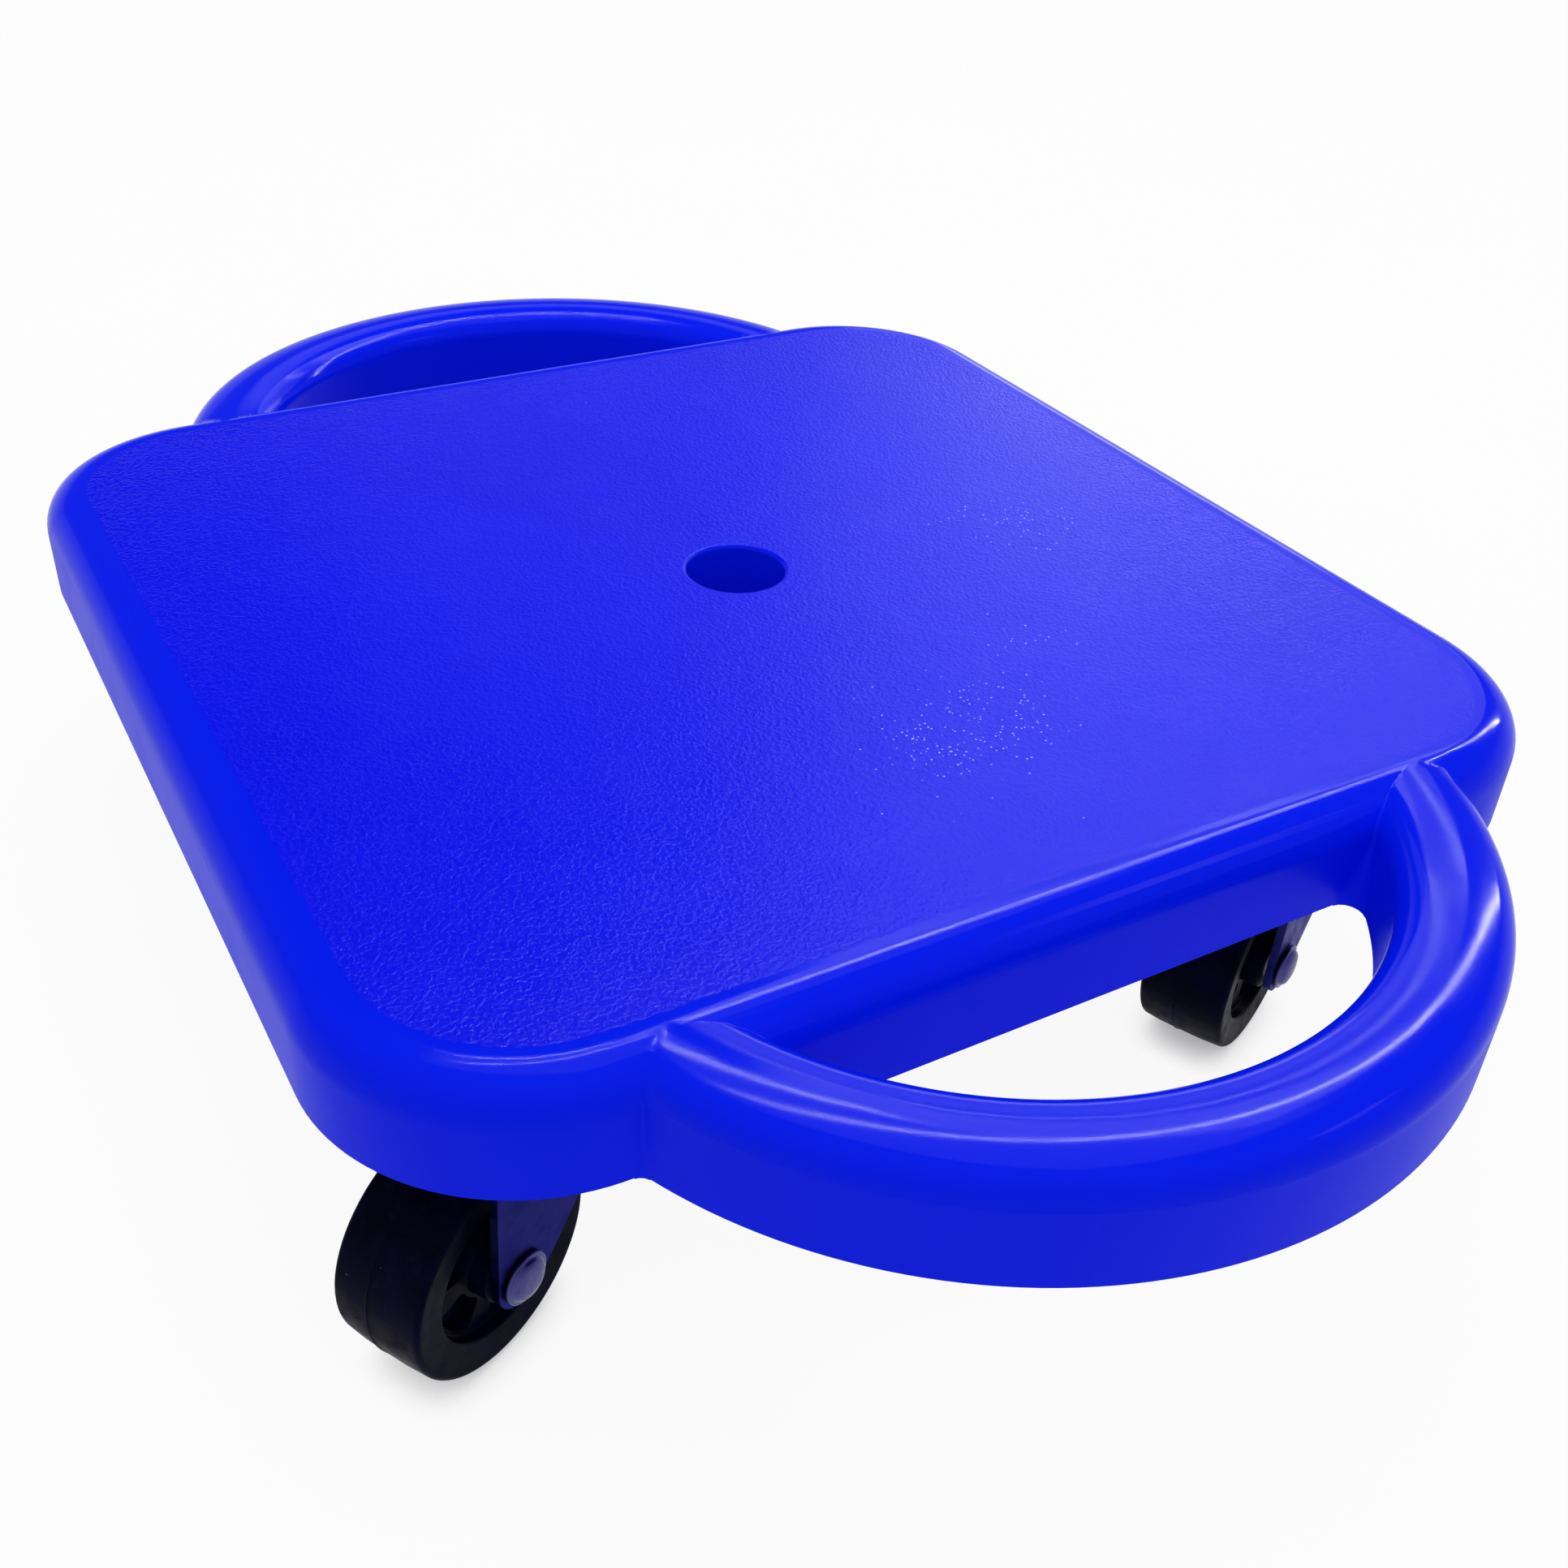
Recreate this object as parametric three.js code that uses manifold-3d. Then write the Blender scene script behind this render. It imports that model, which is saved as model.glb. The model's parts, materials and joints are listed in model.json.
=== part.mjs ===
// Scooter board: a ribbed plastic deck with a loop handle at each end, on four swivel casters.
// Millimetres, +Z up. z = 0 is the floor and +X points from the deck's middle to the front handle.

import * as THREE from 'three';
import { mergeVertices } from 'three/addons/utils/BufferGeometryUtils.js';
import Module from 'manifold-3d';

const wasm = await Module();
wasm.setup();

// Shared clearances
const gap = 0.3;
const overrun = 6;

// Deck: a moulded tray, open below, with a round over its top edge
const deckLength = 304.8;
const deckWidth = 298.8;
const deckThickness = 26;
const cornerRadius = 47;
const edgeRound = 9.6;
const edgeBreak = 0.3;
const topSkin = 3.6;
const skirtWall = 3.6;
const cavityRound = 5;

// Storage hole in the middle of the deck
const holeDiameter = 25.2;
const holeEdgeRound = 1.2;
const holeTubeWall = 3.2;

// Ribs and screw bosses under the deck
const ribThickness = 2.6;
const ribSetback = 1.6;
const ribCells = 7;
const bossRadius = 5.4;

// Loop handles: a bar bent to an arc, rounded on top and hollow below
const handleRadius = 109.9;
const handleReach = 67;
const handleBar = 23.4;
const handleRound = 7.4;
const handleWall = 3.2;
const handleCrownDrop = 0.2;
const handleRibThickness = 2.2;
const handleRibSpacing = 40;
const openingFillet = 4;
const rootFillet = 2.5;
const filletBite = 1.5;
const filletTopShare = 0.3;
const filletFullShare = 0.55;

// Caster top plate, and where its kingpin stands in from the deck's end and side
const casterEndInset = 46.5;
const casterSideInset = 47.5;
const plateLength = 60;
const plateWidth = 48;
const plateThickness = 2;
const plateCorner = 6;
const slotWidth = 5.8;
const slotLength = 8.6;
const slotEndInset = 7;
const slotSideInset = 7.5;
const dishSlope = 1.2;
const dishLand = 1.8;

// Plate screws
const screwDiameter = 4.8;
const screwLength = 18;
const screwPoint = 3;
const screwHeadDiameter = 9.2;
const screwHeadRim = 1.2;
const screwHeadHeight = 2.8;

// Kingpin rivet
const kingpinDiameter = 7;
const kingpinHeadDiameter = 12.8;
const kingpinHeadHeight = 1.4;
const kingpinHeadSink = 0.2;
const kingpinHeadBreak = 0.8;
const kingpinTailDiameter = 13;
const kingpinTailHeight = 2.4;
const kingpinTailDome = 1.2;

// Ball races of the swivel
const upperBall = 4.8;
const upperBallCircle = 30;
const lowerBall = 3.2;
const lowerBallCircle = 16.4;
const raceLip = 0.5;
const raceShadow = 0.9;
const lowerCupSheet = 1.6;

// Fork
const forkSheet = 2;
const forkBend = 3.6;
const forkKingpinHole = 10;
const crownClearance = 6.5;
const casterLead = 24.9;
const legEndRadius = 7;
const legLeanDegrees = 3;
const legSlopeDegrees = 41.5;
const legSweepShare = 0.62;

// Wheel, with the parting line of its mould off the middle of the tread
const wheelRadius = 25.4;
const wheelWidth = 21.8;
const treadFall = 0.5;
const partingOffset = 1.6;
const rimInnerRadius = 17;
const rimDish = 0.6;
const webRecess = 3.4;
const hubRadius = 7.4;
const hubWidth = 25.2;
const hubGap = 1;
const pocketDepth = 3;
const pocketInset = 1.2;
const pocketCount = 5;
const pocketSpanShare = 0.66;

// Axle: a rivet through a bush that keeps the legs apart
const axleDiameter = 6.2;
const bushWall = 1.1;
const rivetHeadDiameter = 11.6;
const rivetHeadHeight = 2.6;
const rivetHeadRim = 0.9;
const rivetHeadStep = 0.9;
const rivetHeadDome = 0.3;
const headDomeShare = 0.5;
const rivetTailDiameter = 10.4;
const rivetTailHeight = 1.8;
const rivetTailDimple = 0.8;

// How each caster was left standing, turned about its kingpin
const frontRightYaw = 27.1;
const frontLeftYaw = 24.3;
const fullTurn = 360;
const halfTurn = fullTurn / 2;

// Faceting
const cornerSteps = 7;
const roundSteps = 4;
const cavityCornerSteps = 4;
const cavityRoundSteps = 2;
const bossSegments = 8;
const handleSegments = 52;
const handleTopSteps = 4;
const handleCavitySteps = 1;
const filletSteps = 3;
const bendSteps = 2;
const footSteps = 5;
const sweepSteps = 4;
const holeSegments = 20;
const lipSteps = 3;
const raceSegments = 16;
const pinSegments = 10;
const ballSides = 6;
const screwSegments = 6;
const wheelSegments = 20;
const pocketSteps = 2;
const plateCornerSteps = 2;
const slotSteps = 2;

// Heights in a caster, from the deck's lower face down
const plateUnder = -plateThickness;
const crownTop = plateUnder - gap - upperBall - gap;
const crownUnder = crownTop - forkSheet;
const lowerCupFloor = crownUnder - gap - lowerBall - gap;
const lowerCupUnder = lowerCupFloor - lowerCupSheet;
const axleHeight = crownUnder - crownClearance - wheelRadius;
const deckBottom = wheelRadius - axleHeight;

// Widths in a caster, from the middle plane of its wheel out
const treadHalf = wheelWidth / 2;
const hubHalf = hubWidth / 2;
const legInner = hubHalf + hubGap;
const legOuter = legInner + forkSheet;

// Places that several pieces share
const deckHalfLength = deckLength / 2;
const deckHalfWidth = deckWidth / 2;
const ceiling = deckThickness - topSkin;
const kingpinX = deckHalfLength - casterEndInset;
const kingpinY = deckHalfWidth - casterSideInset;
const screwX = plateLength / 2 - slotEndInset;
const screwY = plateWidth / 2 - slotSideInset;
const screwHole = screwDiameter / 2 + gap;
const handleInner = handleRadius - handleBar;
const handleCentre = deckHalfLength + handleReach - handleRadius;
const crownRimOuter = upperBallCircle / 2 + upperBall / 2 + raceLip + forkSheet;
const quarterTurn = Math.PI / 2;
const signs = [1, -1];

const materials = {
  deck: { color: 0x1620d8, roughness: 0.42, metalness: 0 },
  zinc: { color: 0x8d8fa6, roughness: 0.38, metalness: 0.9 },
  steel: { color: 0x9a9aa4, roughness: 0.3, metalness: 0.95 },
  wheel: { color: 0x17151f, roughness: 0.5, metalness: 0 },
};

// Geometry helpers

// True when the triangles of a closed skin face into it
function facesInward(geometry) {
  const at = geometry.attributes.position;
  const index = geometry.index.array;
  const [a, b, c] = [new THREE.Vector3(), new THREE.Vector3(), new THREE.Vector3()];
  let sum = 0;
  for (let i = 0; i < index.length; i += 3) {
    a.fromBufferAttribute(at, index[i]);
    b.fromBufferAttribute(at, index[i + 1]);
    c.fromBufferAttribute(at, index[i + 2]);
    sum += a.dot(b.cross(c));
  }
  return sum < 0;
}

// One closed skin with shared corners, no empty triangles and its faces pointing out
function sealed(geometry) {
  geometry.deleteAttribute('normal');
  geometry.deleteAttribute('uv');
  const merged = mergeVertices(geometry);
  const index = merged.index.array;
  const kept = [];
  for (let i = 0; i < index.length; i += 3) {
    const [a, b, c] = [index[i], index[i + 1], index[i + 2]];
    if (a !== b && b !== c && c !== a) kept.push(a, b, c);
  }
  merged.setIndex(kept);
  if (facesInward(merged)) merged.setIndex(kept.reverse());
  return merged;
}

function solid(geometry) {
  const skin = sealed(geometry);
  const vertProperties = Float32Array.from(skin.attributes.position.array);
  const triVerts = Uint32Array.from(skin.index.array);
  return new wasm.Manifold(new wasm.Mesh({ numProp: 3, vertProperties, triVerts }));
}

function join(solids) {
  return solids.reduce((whole, next) => whole.add(next));
}

function cut(body, tools) {
  return tools.reduce((rest, tool) => rest.subtract(tool), body);
}

function skinOf(body) {
  const { vertProperties, triVerts } = body.getMesh();
  const geometry = new THREE.BufferGeometry();
  geometry.setAttribute('position', new THREE.BufferAttribute(vertProperties, 3));
  geometry.setIndex(new THREE.BufferAttribute(triVerts, 1));
  geometry.computeVertexNormals();
  return geometry;
}

// An outline of [radius, height] points turned about Z
function turned(points, segments) {
  const outline = [...points, points[0]].map(([radius, height]) => new THREE.Vector2(radius, height));
  return new THREE.LatheGeometry(outline, segments).rotateX(quarterTurn);
}

// The same about X, with the heights along X
function turnedAlongX(points, segments) {
  return turned(points, segments).rotateY(quarterTurn);
}

function cylinder(radius, from, to, segments) {
  return turned([[0, from], [radius, from], [radius, to], [0, to]], segments);
}

function block([x0, x1], [y0, y1], [z0, z1]) {
  const geometry = new THREE.BoxGeometry(x1 - x0, y1 - y0, z1 - z0);
  return geometry.translate((x0 + x1) / 2, (y0 + y1) / 2, (z0 + z1) / 2);
}

// A flat outline raised along Z
function raised(shape, from, to) {
  const geometry = new THREE.ExtrudeGeometry(shape, { depth: to - from, bevelEnabled: false });
  return geometry.translate(0, 0, from);
}

// A skin through rings of points that match one to one, capped at both ends
function lofted(levels) {
  const clockwise = THREE.ShapeUtils.isClockWise(levels[0]);
  const rings = clockwise ? levels.map((ring) => ring.slice().reverse()) : levels;
  const count = rings[0].length;
  const last = (rings.length - 1) * count;
  const index = [];
  for (let start = 0; start < last; start += count) {
    for (let i = 0; i < count; i += 1) {
      const j = (i + 1) % count;
      index.push(start + i, start + j, start + count + j);
      index.push(start + i, start + count + j, start + count + i);
    }
  }
  for (const [i, j, k] of THREE.ShapeUtils.triangulateShape(rings[0], [])) {
    index.push(i, k, j);
    index.push(last + i, last + j, last + k);
  }
  const geometry = new THREE.BufferGeometry();
  const places = rings.flat().flatMap((point) => point.toArray());
  geometry.setAttribute('position', new THREE.Float32BufferAttribute(places, 3));
  geometry.setIndex(index);
  return geometry;
}

// Points on an arc about a middle, from one angle to another
function arc(middle, radius, from, to, steps) {
  return Array.from({ length: steps + 1 }, (_, k) => {
    const angle = from + ((to - from) * k) / steps;
    return new THREE.Vector2(middle.x + radius * Math.cos(angle), middle.y + radius * Math.sin(angle));
  });
}

function roundedRectangle(halfLength, halfWidth, radius, steps) {
  const quarters = [[1, 1], [-1, 1], [-1, -1], [1, -1]];
  return quarters.flatMap(([sideX, sideY], quarter) => {
    const middle = new THREE.Vector2(sideX * (halfLength - radius), sideY * (halfWidth - radius));
    return arc(middle, radius, quarter * quarterTurn, (quarter + 1) * quarterTurn, steps);
  });
}

function atHeight(points, z) {
  return points.map((point) => new THREE.Vector3(point.x, point.y, z));
}

// Deck

// The deck's plan, drawn in by an inset
function deckRing(inset, z, steps) {
  const radius = cornerRadius - inset;
  return atHeight(roundedRectangle(deckHalfLength - inset, deckHalfWidth - inset, radius, steps), z);
}

// Insets and heights of a wall that bends into a flat top
function roundOver(inset, top, radius, steps) {
  return Array.from({ length: steps + 1 }, (_, k) => {
    const angle = (quarterTurn * k) / steps;
    return [inset + radius * (1 - Math.cos(angle)), top - radius * (1 - Math.sin(angle))];
  });
}

function deckBody() {
  const levels = [[edgeBreak, 0], [0, edgeBreak], ...roundOver(0, deckThickness, edgeRound, roundSteps)];
  return solid(lofted(levels.map(([inset, z]) => deckRing(inset, z, cornerSteps))));
}

function deckCavity() {
  const levels = [[skirtWall, -overrun], ...roundOver(skirtWall, ceiling, cavityRound, cavityRoundSteps)];
  return solid(lofted(levels.map(([inset, z]) => deckRing(inset, z, cavityCornerSteps))));
}

function ribGrid() {
  const half = ribThickness / 2;
  const heights = [ribSetback, deckThickness];
  const ribs = [];
  for (let i = 1; i < ribCells; i += 1) {
    const x = (deckHalfLength - skirtWall) * ((2 * i) / ribCells - 1);
    const y = (deckHalfWidth - skirtWall) * ((2 * i) / ribCells - 1);
    ribs.push(block([x - half, x + half], [-deckHalfWidth, deckHalfWidth], heights));
    ribs.push(block([-deckHalfLength, deckHalfLength], [y - half, y + half], heights));
  }
  return join(ribs.map(solid));
}

// Walled pad with four screw bosses, where a caster's plate seats
function casterPad() {
  const outer = roundedRectangle(plateLength / 2, plateWidth / 2, plateCorner, 1);
  const wall = ribThickness;
  const inner = roundedRectangle(plateLength / 2 - wall, plateWidth / 2 - wall, plateCorner - wall, 1);
  const shape = new THREE.Shape(outer);
  shape.holes.push(new THREE.Path(inner));
  const bosses = screwPlaces().map(([x, y]) => {
    return solid(cylinder(bossRadius, 0, deckThickness, bossSegments).translate(x, y, 0));
  });
  return join([solid(raised(shape, 0, deckThickness)), ...bosses]);
}

function screwPlaces() {
  return signs.flatMap((sideX) => signs.map((sideY) => [sideX * screwX, sideY * screwY]));
}

function casterPlaces() {
  return signs.flatMap((sideX) => signs.map((sideY) => [sideX * kingpinX, sideY * kingpinY]));
}

// Everything that stands in the hollow under the deck
function deckInside() {
  const pad = casterPad();
  const pads = casterPlaces().map(([x, y]) => pad.translate([x, y, 0]));
  const tube = solid(cylinder(holeDiameter / 2 + holeTubeWall, 0, deckThickness, holeSegments));
  return join([ribGrid(), tube, ...pads]);
}

function pilotHoles() {
  const depth = screwLength - plateThickness + gap;
  const hole = solid(cylinder(screwHole, -overrun, depth, screwSegments));
  return casterPlaces().flatMap(([x, y]) => {
    return screwPlaces().map(([dx, dy]) => hole.translate([x + dx, y + dy, 0]));
  });
}

function storageHole() {
  const radius = holeDiameter / 2;
  const middle = new THREE.Vector2(radius + holeEdgeRound, deckThickness - holeEdgeRound);
  const lip = arc(middle, holeEdgeRound, Math.PI, quarterTurn, lipSteps).map((point) => point.toArray());
  const top = deckThickness + overrun;
  const outline = [[0, -overrun], [radius, -overrun], ...lip, [radius + holeEdgeRound, top], [0, top]];
  return solid(turned(outline, holeSegments));
}

// Handles

// The bar's top from its outer side to its inner side, with a round over each shoulder
function barTop(inset, radius, top, steps) {
  const outer = new THREE.Vector2(handleRadius - inset - radius, top - radius);
  const inner = new THREE.Vector2(handleInner + inset + radius, top - radius);
  const shoulders = [
    ...arc(outer, radius, 0, quarterTurn, steps),
    ...arc(inner, radius, quarterTurn, Math.PI, steps),
  ];
  return shoulders.map((point) => point.toArray());
}

function handleRing(outline, fromX) {
  const ring = solid(turned(outline, handleSegments).translate(handleCentre, 0, 0));
  const reach = handleRadius + overrun;
  const heights = [-2 * overrun, deckThickness + overrun];
  const keep = block([fromX, handleCentre + reach], [-reach, reach], heights);
  return ring.intersect(solid(keep));
}

function handleBody() {
  const top = deckThickness - handleCrownDrop;
  const feet = [
    [handleInner, edgeBreak],
    [handleInner + edgeBreak, 0],
    [handleRadius - edgeBreak, 0],
    [handleRadius, edgeBreak],
  ];
  const outline = [...feet, ...barTop(0, handleRound, top, handleTopSteps)];
  return handleRing(outline, deckHalfLength - edgeRound);
}

// The hollow of the bar, less the cross ribs that stiffen it
function handleHollow() {
  const top = deckThickness - handleCrownDrop - handleWall;
  const feet = [[handleInner + handleWall, -overrun], [handleRadius - handleWall, -overrun]];
  const outline = [...feet, ...barTop(handleWall, handleRound - handleWall, top, handleCavitySteps)];
  return cut(handleRing(outline, deckHalfLength), handleRibs());
}

function handleRibs() {
  const middle = handleRadius - handleBar / 2;
  const half = handleRibThickness / 2;
  const sweep = Math.acos((deckHalfLength - handleCentre) / middle);
  const perSide = Math.floor((sweep * middle) / handleRibSpacing);
  const rib = block([handleInner, handleRadius], [-half, half], [ribSetback, deckThickness]);
  return Array.from({ length: 2 * perSide + 1 }, (_, k) => {
    const angle = ((k - perSide) * handleRibSpacing) / middle;
    return solid(rib.clone().rotateZ(angle).translate(handleCentre, 0, 0));
  });
}

// Plan of the fillet between the deck's end wall and the side of the bar.
// side is 1 outside the loop and -1 inside it.
function filletPlan(radius, side) {
  const rim = side > 0 ? handleRadius : handleInner;
  const across = deckHalfLength + radius - handleCentre;
  const reach = rim + side * radius;
  const middle = new THREE.Vector2(deckHalfLength + radius, Math.sqrt(reach ** 2 - across ** 2));
  const toMiddle = Math.atan2(middle.y, across);
  const end = side > 0 ? Math.PI + toMiddle : toMiddle;
  const curve = arc(middle, radius, Math.PI, end, filletSteps);
  const bite = filletBite * side;
  const last = curve[filletSteps];
  const sunk = new THREE.Vector2(last.x - bite * Math.cos(toMiddle), last.y - bite * Math.sin(toMiddle));
  const rootY = Math.sqrt(rim ** 2 - (deckHalfLength - handleCentre) ** 2);
  const corner = new THREE.Vector2(deckHalfLength - filletBite, rootY - bite);
  const start = new THREE.Vector2(deckHalfLength - filletBite, middle.y);
  return [start, ...curve, sunk, corner];
}

// The fillet is full at the foot of the wall and fades out where the round over begins
function fillet(radius, side) {
  const top = deckThickness - edgeRound;
  const levelShares = [[0, 1], [filletFullShare, 1], [1, filletTopShare]];
  const rings = levelShares.map(([heightShare, radiusShare]) => {
    return atHeight(filletPlan(radius * radiusShare, side), top * heightShare);
  });
  return solid(lofted(rings));
}

function handle() {
  const fillets = [fillet(openingFillet, -1), fillet(rootFillet, 1)];
  const mirrored = fillets.map((one) => one.mirror([0, 1, 0]));
  return join([handleBody(), ...fillets, ...mirrored]);
}

function deckGeometry() {
  const front = handle();
  const hollow = handleHollow();
  const outside = join([deckBody(), front, front.mirror([1, 0, 0])]);
  const inside = deckCavity().subtract(deckInside());
  const tools = [inside, hollow, hollow.mirror([1, 0, 0]), storageHole(), ...pilotHoles()];
  return skinOf(cut(outside, tools));
}

// Caster plate, screws and kingpin: they stay with the deck

// Stamped dish that takes the kingpin's head below the plate's face
function plateDish() {
  const floor = -(kingpinHeadSink + kingpinHeadHeight + gap);
  const bore = kingpinDiameter / 2 + gap;
  const well = kingpinHeadDiameter / 2 + 2 * gap;
  const land = well + dishSlope + dishLand;
  return [
    [bore, floor],
    [well, floor],
    [well + dishSlope, 0],
    [land, 0],
    [land, plateUnder],
    [land - dishLand / 2, plateUnder],
    [well + dishSlope, floor - plateThickness],
    [bore, floor - plateThickness],
  ];
}

function slotOutline(x, y) {
  const radius = slotWidth / 2;
  const straight = (slotLength - slotWidth) / 2;
  const right = arc(new THREE.Vector2(x + straight, y), radius, -quarterTurn, quarterTurn, slotSteps);
  const left = arc(new THREE.Vector2(x - straight, y), radius, quarterTurn, 3 * quarterTurn, slotSteps);
  return new THREE.Path([...right, ...left]);
}

function plateGeometry() {
  const edge = roundedRectangle(plateLength / 2, plateWidth / 2, plateCorner, plateCornerSteps);
  const shape = new THREE.Shape(edge);
  screwPlaces().forEach(([x, y]) => shape.holes.push(slotOutline(x, y)));
  const sheet = solid(raised(shape, plateUnder, 0));
  const well = kingpinHeadDiameter / 2 + 2 * gap + dishSlope;
  const window = solid(cylinder(well + dishLand / 2, plateUnder - overrun, overrun, pinSegments));
  return skinOf(sheet.subtract(window).add(solid(turned(plateDish(), pinSegments))));
}

function screwGeometry() {
  const shank = screwDiameter / 2;
  const head = screwHeadDiameter / 2;
  const tip = plateUnder + screwLength;
  const outline = [
    [0, plateUnder - screwHeadHeight],
    [head, plateUnder - screwHeadRim],
    [head, plateUnder],
    [shank, plateUnder],
    [shank, tip - screwPoint],
    [0, tip],
  ];
  return sealed(turned(outline, screwSegments));
}

function kingpinGeometry() {
  const shank = kingpinDiameter / 2;
  const head = kingpinHeadDiameter / 2;
  const tail = kingpinTailDiameter / 2;
  const headTop = -kingpinHeadSink;
  const headUnder = headTop - kingpinHeadHeight;
  const tailTop = lowerCupUnder - gap;
  const tailUnder = tailTop - kingpinTailHeight;
  const outline = [
    [0, tailUnder],
    [tail - kingpinTailDome, tailUnder],
    [tail, tailUnder + kingpinTailDome],
    [tail, tailTop],
    [shank, tailTop],
    [shank, headUnder],
    [head, headUnder],
    [head, headTop - kingpinHeadBreak],
    [head - kingpinHeadBreak, headTop],
    [0, headTop],
  ];
  return sealed(turned(outline, pinSegments));
}

// The balls of a race in their grease, as the one ring that they make
function ballRing(ball, circle, top) {
  const middle = new THREE.Vector2(circle / 2, top - ball / 2);
  const section = arc(middle, ball / 2, -quarterTurn, 3 * quarterTurn, ballSides).slice(1);
  return turned(section.map((point) => point.toArray()), pinSegments);
}

function upperBallsGeometry() {
  return sealed(ballRing(upperBall, upperBallCircle, plateUnder - gap));
}

function lowerBallsGeometry() {
  return sealed(ballRing(lowerBall, lowerBallCircle, crownUnder - gap));
}

function lowerCupGeometry() {
  const bore = kingpinDiameter / 2 + gap;
  const inner = lowerBallCircle / 2 + lowerBall / 2 + raceLip;
  const outer = inner + lowerCupSheet;
  const rim = crownUnder - raceShadow;
  const outline = [
    [bore, lowerCupUnder],
    [outer - lowerCupSheet / 2, lowerCupUnder],
    [outer, lowerCupUnder + lowerCupSheet / 2],
    [outer, rim],
    [inner, rim],
    [inner, lowerCupFloor],
    [bore, lowerCupFloor],
  ];
  return sealed(turned(outline, pinSegments));
}

// Fork: it turns about the kingpin, and trails along -Y

// Crown of the fork with the turned-up rim that shields the upper balls
function forkCrown() {
  const inner = crownRimOuter - forkSheet;
  const rim = plateUnder - raceShadow;
  const outline = [
    [forkKingpinHole / 2, crownUnder],
    [inner, crownUnder],
    [crownRimOuter, crownTop],
    [crownRimOuter, rim],
    [inner, rim],
    [inner, crownTop],
    [forkKingpinHole / 2, crownTop],
  ];
  return solid(turned(outline, raceSegments));
}

// Bent strip across the fork, seen from behind: a top with two legs
function forkChannel(front, back) {
  const foot = axleHeight - legEndRadius - overrun;
  const inner = forkBend - forkSheet;
  const bend = (side, radius, from, to) => {
    const middle = new THREE.Vector2(side * (legOuter - forkBend), crownTop - forkBend);
    return arc(middle, radius, from, to, bendSteps);
  };
  const outline = [
    new THREE.Vector2(legOuter, foot),
    ...bend(1, forkBend, 0, quarterTurn),
    ...bend(-1, forkBend, quarterTurn, Math.PI),
    new THREE.Vector2(-legOuter, foot),
    new THREE.Vector2(-legInner, foot),
    ...bend(-1, inner, Math.PI, quarterTurn),
    ...bend(1, inner, quarterTurn, 0),
    new THREE.Vector2(legInner, foot),
  ];
  return solid(raised(new THREE.Shape(outline), -front, back).rotateX(quarterTurn));
}

// Side outline of the fork. x is the distance behind the kingpin, y the height.
// The trailing edge leans in a little, and the other edge sweeps up to the crown's front.
function forkSide(front) {
  const slope = THREE.MathUtils.degToRad(legSlopeDegrees);
  const lean = THREE.MathUtils.degToRad(legLeanDegrees);
  const axle = new THREE.Vector2(casterLead, axleHeight);
  const foot = arc(axle, legEndRadius, lean, -quarterTurn - slope, footSteps);
  const behind = foot[0];
  const top = new THREE.Vector2(behind.x - (crownTop - behind.y) * Math.tan(lean), crownTop);
  const ahead = foot[footSteps];
  const run = (ahead.x + front) * legSweepShare;
  const bend = new THREE.Vector2(ahead.x - run, ahead.y + run * Math.tan(slope));
  const nose = new THREE.Vector2(-front, crownUnder);
  const sweep = new THREE.QuadraticBezierCurve(ahead, bend, nose).getPoints(sweepSteps).slice(1);
  const outline = [top, ...foot, ...sweep, new THREE.Vector2(-front, crownTop)];
  const half = legOuter + overrun;
  return solid(raised(new THREE.Shape(outline), -half, half).rotateX(quarterTurn).rotateZ(-quarterTurn));
}

function forkGeometry() {
  const front = Math.sqrt(crownRimOuter ** 2 - legOuter ** 2);
  const legs = forkChannel(front, casterLead + legEndRadius + overrun).intersect(forkSide(front));
  const kingpinHole = solid(cylinder(forkKingpinHole / 2, crownUnder - overrun, overrun, pinSegments));
  const reach = legOuter + overrun;
  const bore = axleDiameter / 2 + gap;
  const axle = turnedAlongX([[0, -reach], [bore, -reach], [bore, reach], [0, reach]], pinSegments);
  const axleHoles = solid(axle.translate(0, -casterLead, axleHeight));
  return skinOf(cut(join([legs, forkCrown()]), [kingpinHole, axleHoles]));
}

// Wheel and axle, drawn about the axle with the rivet's big head on +X

function wheelOutline() {
  const bore = axleDiameter / 2 + gap + bushWall + gap;
  const web = treadHalf - webRecess;
  const face = [
    [wheelRadius - treadFall, treadHalf],
    [rimInnerRadius, treadHalf - rimDish],
    [rimInnerRadius, web],
    [hubRadius, web],
    [hubRadius, hubHalf],
    [bore, hubHalf],
  ];
  const back = face.map(([radius, across]) => [radius, -across]).reverse();
  return [...back, [wheelRadius, -partingOffset], ...face];
}

// A sunk sector between two spokes of the web
function wheelPocket() {
  const inner = hubRadius + pocketInset;
  const outer = rimInnerRadius - pocketInset;
  const half = (Math.PI / pocketCount) * pocketSpanShare;
  const middle = new THREE.Vector2();
  const outline = [
    ...arc(middle, outer, -half, half, pocketSteps),
    ...arc(middle, inner, half, -half, 1),
  ];
  const web = treadHalf - webRecess;
  return raised(new THREE.Shape(outline), web - pocketDepth, web + overrun).rotateY(quarterTurn);
}

function wheelGeometry() {
  const pocket = solid(wheelPocket());
  const pockets = Array.from({ length: pocketCount }, (_, k) => {
    return pocket.rotate([(k * fullTurn) / pocketCount, 0, 0]);
  });
  const mirrored = pockets.map((one) => one.mirror([1, 0, 0]));
  return skinOf(cut(solid(turnedAlongX(wheelOutline(), wheelSegments)), [...pockets, ...mirrored]));
}

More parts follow.
